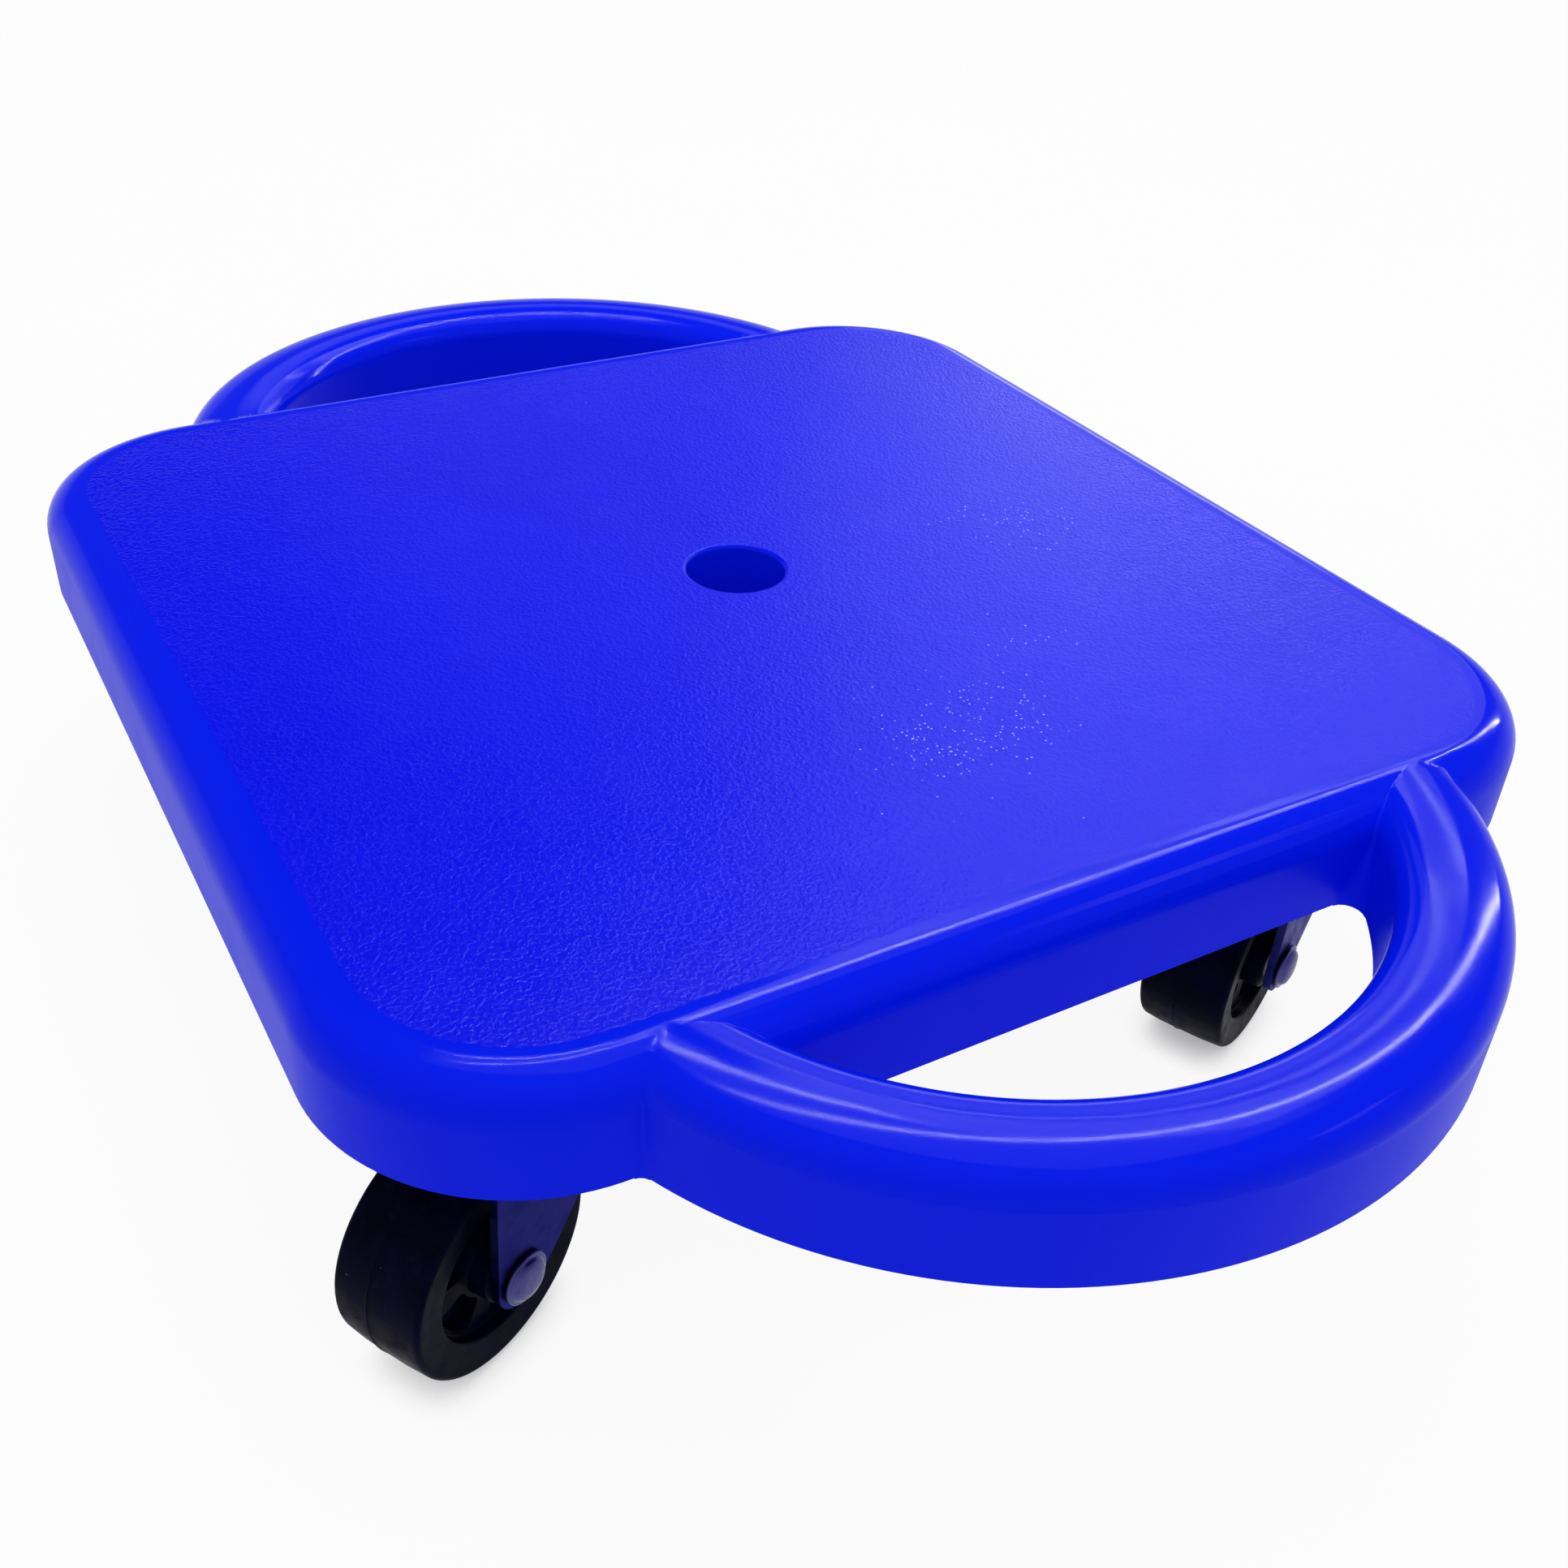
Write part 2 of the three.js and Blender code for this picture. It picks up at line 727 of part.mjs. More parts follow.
function rivetGeometry() {
  const shank = axleDiameter / 2;
  const head = rivetHeadDiameter / 2;
  const tail = rivetTailDiameter / 2;
  const seat = legOuter + gap;
  const tailEnd = seat + rivetTailHeight;
  const headEnd = seat + rivetHeadHeight;
  const outline = [
    [0, rivetTailDimple - tailEnd],
    [shank, -tailEnd],
    [tail, rivetTailHeight / 2 - tailEnd],
    [tail, -seat],
    [shank, -seat],
    [shank, seat],
    [head, seat],
    [head, seat + rivetHeadRim],
    [head - rivetHeadStep, seat + rivetHeadRim],
    [head * headDomeShare, headEnd - rivetHeadDome],
    [0, headEnd],
  ];
  return sealed(turnedAlongX(outline, pinSegments));
}

function bushGeometry() {
  const bore = axleDiameter / 2 + gap;
  const end = legInner - gap;
  const outline = [[bore, -end], [bore + bushWall, -end], [bore + bushWall, end], [bore, end]];
  return sealed(turnedAlongX(outline, pinSegments));
}

// Assembly

function piece(name, geometry, material) {
  const mesh = new THREE.Mesh(geometry, new THREE.MeshStandardMaterial(materials[material]));
  mesh.name = name;
  return mesh;
}

const shapes = {
  plate: plateGeometry(),
  screw: screwGeometry(),
  kingpin: kingpinGeometry(),
  upperBalls: upperBallsGeometry(),
  lowerBalls: lowerBallsGeometry(),
  lowerCup: lowerCupGeometry(),
  fork: forkGeometry(),
  wheel: wheelGeometry(),
  rivet: rivetGeometry(),
  bush: bushGeometry(),
};

function onAxle(mesh) {
  mesh.position.set(0, -casterLead, axleHeight);
  return mesh;
}

function swivel(corner, yawDegrees) {
  const group = new THREE.Group();
  group.rotation.z = THREE.MathUtils.degToRad(yawDegrees);
  group.add(
    piece(`fork_${corner}`, shapes.fork, 'zinc'),
    piece(`upper_balls_${corner}`, shapes.upperBalls, 'steel'),
    piece(`lower_balls_${corner}`, shapes.lowerBalls, 'steel'),
    onAxle(piece(`axle_rivet_${corner}`, shapes.rivet, 'zinc')),
    onAxle(piece(`axle_bush_${corner}`, shapes.bush, 'steel')),
    onAxle(piece(`wheel_${corner}`, shapes.wheel, 'wheel')),
  );
  return group;
}

function caster(corner, x, y, yawDegrees) {
  const group = new THREE.Group();
  group.position.set(x, y, deckBottom);
  group.add(
    piece(`top_plate_${corner}`, shapes.plate, 'zinc'),
    piece(`kingpin_${corner}`, shapes.kingpin, 'zinc'),
    piece(`lower_cup_${corner}`, shapes.lowerCup, 'zinc'),
    swivel(corner, yawDegrees),
  );
  screwPlaces().forEach(([dx, dy], k) => {
    const screw = piece(`screw_${corner}_${k + 1}`, shapes.screw, 'zinc');
    screw.position.set(dx, dy, 0);
    group.add(screw);
  });
  return group;
}

const board = new THREE.Group();
const deck = piece('deck', deckGeometry(), 'deck');
deck.position.z = deckBottom;
board.add(
  deck,
  caster('front_right', kingpinX, -kingpinY, frontRightYaw),
  caster('front_left', kingpinX, kingpinY, frontLeftYaw),
  caster('rear_left', -kingpinX, kingpinY, frontRightYaw + halfTurn),
  caster('rear_right', -kingpinX, -kingpinY, frontLeftYaw + halfTurn),
);

export default board;
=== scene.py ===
import json
from math import acos, asin, atan2, cos, floor, hypot, pi, radians, sin, sqrt

import bmesh
import bpy
from mathutils import Matrix, Vector


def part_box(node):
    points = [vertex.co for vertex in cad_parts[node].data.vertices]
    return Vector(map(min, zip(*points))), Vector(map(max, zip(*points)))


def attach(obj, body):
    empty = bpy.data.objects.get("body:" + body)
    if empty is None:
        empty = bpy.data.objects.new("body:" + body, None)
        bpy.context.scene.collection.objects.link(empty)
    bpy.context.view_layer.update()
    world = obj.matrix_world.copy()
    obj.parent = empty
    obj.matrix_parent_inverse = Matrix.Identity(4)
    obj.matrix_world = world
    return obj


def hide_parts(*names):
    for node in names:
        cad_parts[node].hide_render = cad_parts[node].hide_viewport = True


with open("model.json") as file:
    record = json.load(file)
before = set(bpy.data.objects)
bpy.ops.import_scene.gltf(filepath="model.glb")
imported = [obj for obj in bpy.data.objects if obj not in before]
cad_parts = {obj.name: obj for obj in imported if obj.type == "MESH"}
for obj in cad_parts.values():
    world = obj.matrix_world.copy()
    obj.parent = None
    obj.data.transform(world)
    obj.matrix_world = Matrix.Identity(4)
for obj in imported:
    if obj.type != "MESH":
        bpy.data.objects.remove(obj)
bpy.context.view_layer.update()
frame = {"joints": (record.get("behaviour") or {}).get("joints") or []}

# Sizes in metres. What the frame gives is read from it, and the rest is named here.

deck_low, deck_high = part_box("deck")
DECK_BOTTOM = deck_low.z
DECK_TOP = deck_high.z
THICKNESS = DECK_TOP - DECK_BOTTOM
HALF_WIDTH = deck_high.y
TIP = deck_high.x
MM = 0.001

# Deck
HALF_LENGTH = 152.4 * MM
CORNER_RADIUS = 47 * MM
EDGE_ROUND = 9.6 * MM
EDGE_BREAK = 0.3 * MM
TOP_SKIN = 3.6 * MM
SKIRT_WALL = 3.6 * MM
CAVITY_ROUND = 5 * MM
OVERRUN = 6 * MM

# Storage hole
HOLE_RADIUS = 12.6 * MM
HOLE_LIP = 1.2 * MM
HOLE_TUBE = 3.2 * MM

# Ribs, pads and bosses under the deck
RIB = 2.6 * MM
RIB_SETBACK = 1.6 * MM
RIB_CELLS = 7
PAD_HALF_X = 30 * MM
PAD_HALF_Y = 24 * MM
PAD_CORNER = 6 * MM
BOSS_RADIUS = 5.4 * MM
PILOT_RADIUS = 2.7 * MM
PILOT_DEPTH = 16.3 * MM

# Loop handles
HANDLE_RADIUS = 109.9 * MM
HANDLE_BAR = 23.4 * MM
HANDLE_ROUND = 7.4 * MM
HANDLE_WALL = 3.2 * MM
CROWN_DROP = 0.05 * MM
CROWN_TILT = radians(14)
HANDLE_RIB = 2.2 * MM
HANDLE_RIB_SPACING = 40 * MM
HANDLE_SWEEP = radians(71.5)
HANDLE_INNER = HANDLE_RADIUS - HANDLE_BAR
HANDLE_CENTRE = TIP - HANDLE_RADIUS
CROWN_HALF = HANDLE_BAR / 2 - HANDLE_ROUND * (1 - sin(CROWN_TILT))
CROWN_RADIUS = CROWN_HALF / sin(CROWN_TILT)
SHOULDER_SINK = CROWN_DROP + CROWN_RADIUS * (1 - cos(CROWN_TILT)) + HANDLE_ROUND * cos(CROWN_TILT)

# Coves where the handles grow out of the deck, wide at the wall's foot and narrow at its top
OPENING_COVE = 4 * MM
ROOT_COVE = 2.5 * MM
TOP_COVE = 0.7 * MM
COVE_BITE = 1.5 * MM
COVE_SINK = 0.06 * MM
COVE_WALL_SHARE = 0.45
COVE_TOP_ANGLE = radians(84)

# Caster, with heights from the deck's lower face down
PLATE_SHEET = 2 * MM
PLATE_CORNER = 6 * MM
SCREW_X = 23 * MM
SCREW_Y = 16.5 * MM
SLOT_WIDTH = 5.8 * MM
SLOT_LENGTH = 8.6 * MM
DISH_WELL = 7 * MM
DISH_SLOPE = 1.2 * MM
DISH_LAND = 1.8 * MM
DISH_FLOOR = -1.9 * MM
KINGPIN = 3.5 * MM
KINGPIN_HEAD = 6.4 * MM
KINGPIN_TAIL = 6.5 * MM
KINGPIN_HEAD_TOP = -0.2 * MM
KINGPIN_HEAD_DEPTH = 1.4 * MM
KINGPIN_HEAD_CHAMFER = 0.8 * MM
KINGPIN_TAIL_DEPTH = 2.4 * MM
# Radius, and height over the tail's end, in millimetres
KINGPIN_DOME = ((0, 0), (5.3, 0.15), (6.5, 1.3))
UPPER_BALL = 2.4 * MM
UPPER_CIRCLE = 15 * MM
UPPER_BALLS = 19
LOWER_BALL = 1.6 * MM
LOWER_CIRCLE = 8.2 * MM
LOWER_BALLS = 15
RUNNING_GAP = 0.3 * MM
RIM_GAP = 0.9 * MM
CROWN_TOP = -7.4 * MM
CROWN_UNDER = -9.4 * MM
CUP_FLOOR = -13.2 * MM
CUP_UNDER = -14.8 * MM
CUP_INNER = 10.3 * MM
CUP_OUTER = 11.9 * MM
AXLE_HEIGHT = -41.3 * MM
CASTER_LEAD = 24.9 * MM

# Fork
FORK_SHEET = 2 * MM
FORK_BEND = 3.6 * MM
FORK_HOLE = 5 * MM
CROWN_INNER = 17.9 * MM
CROWN_OUTER = 19.9 * MM
CROWN_CORNER = 2.6 * MM
CROWN_INNER_CORNER = 0.6 * MM
LEG_INNER = 13.6 * MM
LEG_OUTER = 15.6 * MM
LEG_END = 7 * MM
LEG_LEAN = radians(3)
LEG_SLOPE = radians(41.5)
LEG_SWEEP_SHARE = 0.62
SHEET_EDGE = 0.25 * MM

# Wheel and axle, from the middle plane of the wheel out
WHEEL_RADIUS = 25.4 * MM
TREAD_HALF = 10.9 * MM
TREAD_SHOULDER = 24.9 * MM
TREAD_ROUND = 1.3 * MM
PARTING_OFFSET = -1.6 * MM
PARTING_RIDGE = 0.16 * MM
PARTING_HALF = 0.22 * MM
TREAD_FALL = 0.05 * MM
FALL_ENDS = (5 * MM, -6 * MM)
RIM_INNER = 17 * MM
RIM_DISH = 0.6 * MM
RIM_ROUND = 0.6 * MM
WEB_HALF = 7.5 * MM
HUB_RADIUS = 7.4 * MM
HUB_HALF = 12.6 * MM
WHEEL_BORE = 4.8 * MM
POCKET_DEPTH = 3 * MM
POCKET_INNER = 8.6 * MM
POCKET_OUTER = 15.8 * MM
POCKET_CORNER = 1.4 * MM
POCKET_DRAFT = 0.7 * MM
POCKETS = 5
POCKET_HALF = radians(23.76)
AXLE = 3.1 * MM
BUSH_INNER = 3.4 * MM
BUSH_OUTER = 4.5 * MM
BUSH_HALF = 13.3 * MM
RIVET_SEAT = 15.9 * MM
RIVET_HEAD = 5.8 * MM
RIVET_HEAD_END = 18.5 * MM
RIVET_RIM = 0.9 * MM
RIVET_TAIL = 5.2 * MM
RIVET_TAIL_END = 17.7 * MM
# Radius, and depth under the end, in millimetres
RIVET_DOME = ((4.5, 1.0), (3.9, 0.55), (2.6, 0.2), (0, 0))
RIVET_CUP = ((0, 0.8), (1.6, 0.56), (3.1, 0), (4.4, 0.35), (5.2, 1.1))

# Plate screws
SCREW_HEAD = 4.6 * MM
SCREW_HEAD_RIM = 1.2 * MM
SCREW_HEAD_HEIGHT = 2.8 * MM
SCREW_CORE = 1.85 * MM
SCREW_THREAD = 2.4 * MM
SCREW_PITCH = 1.8 * MM
SCREW_TIP = 16 * MM
SCREW_POINT = 3 * MM
SCREW_TIP_SHARE = 0.04
THREAD_SLOPE = 1.8
# Share of the head's radius, and height over its lowest point in millimetres
SCREW_DOME = ((0, 0), (0.45, 0.12), (0.8, 0.6))
CROSS_HALF_WIDTH = 0.55 * MM
CROSS_REACH = 2.5 * MM
CROSS_DEPTH = 1.6 * MM
CROSS_TAPER = (0.55, 0.8)

# Faceting
CORNER_STEPS = 28
ROUND_STEPS = 12
HANDLE_STEPS = 84
SHOULDER_STEPS = 12
COVE_STEPS = 6
COVE_RINGS = 14
LATHE_STEPS = 64
FINE_LATHE_STEPS = 96
SCREW_STEPS = 24
SCREW_RINGS = 110
# The angle over which a corner of an outline counts as straight, and the most of a side that an arc takes
STRAIGHT = pi - 0.01
ARC_SHARE = 0.45


# Mesh helpers

def linked(name, mesh):
    obj = bpy.data.objects.new(name, mesh)
    bpy.context.scene.collection.objects.link(obj)
    return obj


def mesh_object(name, verts, faces, closed=True):
    """A mesh with its doubled corners merged and its faces pointing out."""
    mesh = bpy.data.meshes.new(name)
    mesh.from_pydata([tuple(v) for v in verts], [], faces)
    bm = bmesh.new()
    bm.from_mesh(mesh)
    bmesh.ops.remove_doubles(bm, verts=bm.verts, dist=0.0002 * MM)
    if closed:
        bmesh.ops.recalc_face_normals(bm, faces=bm.faces)
    bm.to_mesh(mesh)
    bm.free()
    return linked(name, mesh)


def strips(sections, count, around=True, closed=True):
    """The corners of each face between neighbouring sections of so many points each."""
    for k in range(sections if around else sections - 1):
        near, far = k * count, (k + 1) % sections * count
        for i in range(count if closed else count - 1):
            j = (i + 1) % count
            yield [near + i, near + j, far + j, far + i]


def lofted(name, rings):
    """A closed skin through rings of points that match one to one."""
    count = len(rings[0])
    last = (len(rings) - 1) * count
    faces = [list(range(count)), list(range(last, last + count)), *strips(len(rings), count, around=False)]
    return mesh_object(name, [p for ring in rings for p in ring], faces)


def level_ring(plan, z):
    return [(x, y, z) for x, y in plan]


def prism(name, plan, low, high):
    return lofted(name, [level_ring(plan, z) for z in (low, high)])


def block(name, low, high):
    plan = [(low[0], low[1]), (high[0], low[1]), (high[0], high[1]), (low[0], high[1])]
    return prism(name, plan, low[2], high[2])


def turned(profile, steps):
    """The (radius, height) points of a profile at each step of a turn about Z."""
    angles = [2 * pi * k / steps for k in range(steps)]
    return [(r * cos(a), r * sin(a), h) for a in angles for r, h in profile]


def revolved(name, outline, steps=LATHE_STEPS):
    """A closed outline of (radius, height) points turned about Z."""
    count = len(outline)
    faces = []
    for a, b, c, d in strips(steps, count):
        first_on_axis, next_on_axis = (outline[i % count][0] == 0 for i in (a, b))
        if not (first_on_axis and next_on_axis):
            faces.append([a, c, b] if first_on_axis else [a, d, b] if next_on_axis else [a, d, c, b])
    return mesh_object(name, turned(outline, steps), faces)


def cylinder(name, radius, low, high, steps=LATHE_STEPS):
    return revolved(name, [(0, low), (radius, low), (radius, high), (0, high)], steps)


def arc(cx, cy, radius, start, end, steps):
    angles = [start + (end - start) * k / steps for k in range(steps + 1)]
    return [(cx + radius * cos(a), cy + radius * sin(a)) for a in angles]


def rounded_rectangle(half_x, half_y, radius, inset, steps):
    half_x, half_y, radius = half_x - inset, half_y - inset, radius - inset
    points = []
    for quarter, (sx, sy) in enumerate(((1, 1), (-1, 1), (-1, -1), (1, -1))):
        start = quarter * pi / 2
        points += arc(sx * (half_x - radius), sy * (half_y - radius), radius, start, start + pi / 2, steps)
    return points


def curved(start, bend, end, steps):
    """Points on a curve from start to end that sets out toward the bend."""
    shares = [k / steps for k in range(steps + 1)]
    return [tuple(start * (1 - t) ** 2 + bend * 2 * t * (1 - t) + end * t ** 2) for t in shares]


def softened(outline, radius):
    """The same closed outline with an arc in place of each corner off the axis."""
    result = []
    for i, point in enumerate(outline):
        here = Vector(point)
        before = Vector(outline[i - 1]) - here
        after = Vector(outline[(i + 1) % len(outline)]) - here
        opening = before.angle(after) if point[0] and before.length and after.length else pi
        if opening >= STRAIGHT:
            result.append(point)
            continue
        tangent = max(sin(opening / 2) / cos(opening / 2), 0.01)
        reach = min(radius / tangent, before.length * ARC_SHARE, after.length * ARC_SHARE)
        result += curved(here + before.normalized() * reach, here, here + after.normalized() * reach, 3)
    return result


def shift(x, y, z=0):
    return Matrix.Translation((x, y, z))


def moved(obj, matrix):
    obj.data.transform(matrix)
    if matrix.determinant() < 0:
        obj.data.flip_normals()
    return obj


def copied(obj, matrix):
    return moved(linked(obj.name, obj.data.copy()), matrix)


def discard(obj):
    mesh = obj.data
    bpy.data.objects.remove(obj)
    bpy.data.meshes.remove(mesh)


def evaluated(obj):
    """Takes the result of the object's modifiers into its mesh."""
    depsgraph = bpy.context.evaluated_depsgraph_get()
    mesh = bpy.data.meshes.new_from_object(obj.evaluated_get(depsgraph), depsgraph=depsgraph)
    old = obj.data
    obj.modifiers.clear()
    obj.data = mesh
    bpy.data.meshes.remove(old)
    return obj


def combine(body, tool, operation):
    modifier = body.modifiers.new("combine", "BOOLEAN")
    modifier.operation = operation
    modifier.solver = "MANIFOLD"
    modifier.object = tool
    evaluated(body)
    discard(tool)
    return body


def cut(body, tool):
    return combine(body, tool, "DIFFERENCE")


def join(body, tool):
    return combine(body, tool, "UNION")


def finished(obj, angle=radians(32)):
    """Smooth shading that keeps flat faces flat, and edges sharper than the angle crisp. Also notes where
    each point was drawn, for the textures, before the piece is copied to its places."""
    mesh = obj.data
    mesh.polygons.foreach_set("use_smooth", [True] * len(mesh.polygons))
    mesh.set_sharp_from_angle(angle=angle)
    modifier = obj.modifiers.new("weight", "WEIGHTED_NORMAL")
    modifier.keep_sharp = True
    modifier.weight = 100
    mesh = evaluated(obj).data
    drawn_at = mesh.attributes.new("drawn_at", "FLOAT_VECTOR", "POINT")
    flat = [0.0] * (3 * len(mesh.vertices))
    mesh.vertices.foreach_get("co", flat)
    drawn_at.data.foreach_set("vector", flat)
    return obj


def bevelled(obj, width):
    modifier = obj.modifiers.new("bevel", "BEVEL")
    modifier.width = width
    modifier.segments = 2
    modifier.limit_method = "ANGLE"
    modifier.angle_limit = radians(38)
    return evaluated(obj)


def eased(value):
    value = max(0.0, min(1.0, value))
    return value * value * (3 - 2 * value)


# Deck, drawn with z = 0 at its lower face

def deck_ring(inset, z, steps):
    return level_ring(rounded_rectangle(HALF_LENGTH, HALF_WIDTH, CORNER_RADIUS, inset, steps), z)


def round_over(inset, top, radius, steps):
    angles = [pi / 2 * k / steps for k in range(steps + 1)]
    return [(inset + radius * (1 - cos(a)), top - radius * (1 - sin(a))) for a in angles]


def deck_body():
    levels = [(EDGE_BREAK, 0), (0, EDGE_BREAK), *round_over(0, THICKNESS, EDGE_ROUND, ROUND_STEPS)]
    return lofted("moulded_deck", [deck_ring(inset, z, CORNER_STEPS) for inset, z in levels])


def deck_cavity():
    ceiling = THICKNESS - TOP_SKIN
    levels = [(SKIRT_WALL, -OVERRUN), *round_over(SKIRT_WALL, ceiling, CAVITY_ROUND, 4)]
    return lofted("deck_cavity", [deck_ring(inset, z, 12) for inset, z in levels])


def bar_top(inset, steps):
    """The bar's top from its outer side to its inner one: a shoulder, a low crown and a shoulder."""
    radius = HANDLE_ROUND - inset
    axis_z = THICKNESS - SHOULDER_SINK
    upright = pi / 2
    outer = arc(HANDLE_RADIUS - HANDLE_ROUND, axis_z, radius, 0, upright - CROWN_TILT, steps)
    crown = arc(HANDLE_RADIUS - HANDLE_BAR / 2, THICKNESS - CROWN_DROP - CROWN_RADIUS, CROWN_RADIUS - inset,
                upright - CROWN_TILT, upright + CROWN_TILT, steps)
    inner = arc(HANDLE_INNER + HANDLE_ROUND, axis_z, radius, upright + CROWN_TILT, pi, steps)
    return outer + crown[1:-1] + inner


def handle_sweep(name, outline, steps):
    rings = []
    for k in range(steps + 1):
        a = HANDLE_SWEEP * (2 * k / steps - 1)
        rings.append([(HANDLE_CENTRE + r * cos(a), r * sin(a), z) for r, z in outline])
    return lofted(name, rings)


def handle_bar():
    feet = [(HANDLE_INNER, EDGE_BREAK), (HANDLE_INNER + EDGE_BREAK, 0),
            (HANDLE_RADIUS - EDGE_BREAK, 0), (HANDLE_RADIUS, EDGE_BREAK)]
    return handle_sweep("handle", feet + bar_top(0, SHOULDER_STEPS), HANDLE_STEPS)


def handle_hollow():
    """The hollow of the bar, less the cross ribs that stiffen it."""
    feet = [(HANDLE_INNER + HANDLE_WALL, -OVERRUN), (HANDLE_RADIUS - HANDLE_WALL, -OVERRUN)]
    hollow = handle_sweep("hollow", feet + bar_top(HANDLE_WALL, 4), HANDLE_STEPS // 2)
    reach = HANDLE_RADIUS + OVERRUN
    combine(hollow, block("keep", (HALF_LENGTH, -reach, -2 * OVERRUN), (TIP, reach, THICKNESS)), "INTERSECT")
    middle = HANDLE_RADIUS - HANDLE_BAR / 2
    per_side = floor(acos((HALF_LENGTH - HANDLE_CENTRE) / middle) * middle / HANDLE_RIB_SPACING)
    half = HANDLE_RIB / 2
    for k in range(-per_side, per_side + 1):
        rib = block("rib", (HANDLE_INNER, -half, RIB_SETBACK), (HANDLE_RADIUS, half, THICKNESS))
        turn = Matrix.Rotation(k * HANDLE_RIB_SPACING / middle, 4, "Z")
        cut(hollow, moved(rib, shift(HANDLE_CENTRE, 0) @ turn))
    return hollow


def cove_contacts(share, radius, side):
    """A ball that rolls in the groove between deck and bar: its middle, and where it touches each.
    share is 0 at the deck's foot and 1 at its top. side is 1 outside the loop and -1 inside it."""
    deck_axis = Vector((HALF_LENGTH - EDGE_ROUND, 0, THICKNESS - EDGE_ROUND))
    if share <= COVE_WALL_SHARE:
        deck_axis.z *= share / COVE_WALL_SHARE
        angle = 0
    else:
        angle = COVE_TOP_ANGLE * (share - COVE_WALL_SHARE) / (1 - COVE_WALL_SHARE)
    outward = Vector((cos(angle), 0, sin(angle)))
    middle = deck_axis + outward * (EDGE_ROUND + radius)
    deck_touch = deck_axis + outward * EDGE_ROUND
    bar_axis_r = HANDLE_RADIUS - HANDLE_ROUND if side > 0 else HANDLE_INNER + HANDLE_ROUND
    bar_axis_z = THICKNESS - SHOULDER_SINK
    rise = max(0.0, min(1.0, (middle.z - bar_axis_z) / (HANDLE_ROUND + radius)))
    spread = cos(asin(rise))
    reach = bar_axis_r + side * (HANDLE_ROUND + radius) * spread
    middle.y = deck_touch.y = sqrt(reach ** 2 - (middle.x - HANDLE_CENTRE) ** 2)
    around = atan2(middle.y, middle.x - HANDLE_CENTRE)
    touch_r = bar_axis_r + side * HANDLE_ROUND * spread
    touch_z = middle.z if rise == 0 else bar_axis_z + HANDLE_ROUND * rise
    bar_touch = Vector((HANDLE_CENTRE + touch_r * cos(around), touch_r * sin(around), touch_z))
    return middle, deck_touch, bar_touch


def cove(low_radius, side):
    rings = []
    for k in range(COVE_RINGS + 1):
        share = k / COVE_RINGS
        radius = low_radius + (TOP_COVE - low_radius) * eased(2 * share)
        middle, deck_touch, bar_touch = cove_contacts(share, radius, side)
        to_deck = (deck_touch - middle).normalized()
        to_bar = (bar_touch - middle).normalized()
        opening = to_deck.angle(to_bar)
        normal = to_deck.cross(to_bar).normalized()
        curve = []
        for i in range(COVE_STEPS + 1):
            turn = Matrix.Rotation(opening * i / COVE_STEPS, 3, normal)
            curve.append(middle + radius * (turn @ to_deck))
        curve[0] += to_deck * COVE_SINK
        curve[-1] += to_bar * COVE_SINK
        corner = middle + (to_deck + to_bar).normalized() * (radius / cos(opening / 2) + COVE_BITE)
        rings.append([deck_touch + to_deck * COVE_BITE, *curve, bar_touch + to_bar * COVE_BITE, corner])
    return lofted("cove", rings)


def handle():
    bar = handle_bar()
    for radius, side in ((OPENING_COVE, -1), (ROOT_COVE, 1)):
        fillet = cove(radius, side)
        join(bar, copied(fillet, Matrix.Scale(-1, 4, (0, 1, 0))))
        join(bar, fillet)
    return bar


def joints_by_corner(kind):
    """The frame's joints of one kind, by the corner that their names end with."""
    chosen = [joint for joint in frame["joints"] if joint["name"].startswith(kind)]
    return {joint["name"].removeprefix(kind): joint for joint in chosen}


PINS = {corner: Vector(joint["pos_m"]) for corner, joint in joints_by_corner("swivel_").items()}
SCREW_PLACES = [(sx * SCREW_X, sy * SCREW_Y) for sx in (1, -1) for sy in (1, -1)]


def caster_pad():
    """Walled pad with four screw bosses, where a caster's plate seats."""
    pad = prism("pad", rounded_rectangle(PAD_HALF_X, PAD_HALF_Y, PAD_CORNER, 0, 5), 0, THICKNESS)
    inner = rounded_rectangle(PAD_HALF_X, PAD_HALF_Y, PAD_CORNER, RIB, 5)
    cut(pad, prism("pad_inside", inner, -OVERRUN, THICKNESS + OVERRUN))
    for x, y in SCREW_PLACES:
        boss = cylinder("boss", BOSS_RADIUS, 0, THICKNESS, 24)
        join(pad, moved(boss, shift(x, y)))
    return pad


def deck_inside():
    """The hollow under the deck, less all that stands in it."""
    inside = deck_cavity()
    half = RIB / 2
    for i in range(1, RIB_CELLS):
        share = 2 * i / RIB_CELLS - 1
        x = (HALF_LENGTH - SKIRT_WALL) * share
        y = (HALF_WIDTH - SKIRT_WALL) * share
        across = block("rib", (x - half, -HALF_WIDTH, RIB_SETBACK), (x + half, HALF_WIDTH, THICKNESS))
        along = block("rib", (-HALF_LENGTH, y - half, RIB_SETBACK), (HALF_LENGTH, y + half, THICKNESS))
        cut(inside, across)
        cut(inside, along)
    cut(inside, cylinder("tube", HOLE_RADIUS + HOLE_TUBE, 0, THICKNESS))
    pad = caster_pad()
    for pin in PINS.values():
        cut(inside, copied(pad, shift(pin.x, pin.y)))
    discard(pad)
    return inside


def storage_hole():
    lip = arc(HOLE_RADIUS + HOLE_LIP, THICKNESS - HOLE_LIP, HOLE_LIP, pi, pi / 2, 6)
    top = THICKNESS + OVERRUN
    outline = [(0, -OVERRUN), (HOLE_RADIUS, -OVERRUN), *lip, (HOLE_RADIUS + HOLE_LIP, top), (0, top)]
    return revolved("hole", outline, FINE_LATHE_STEPS)


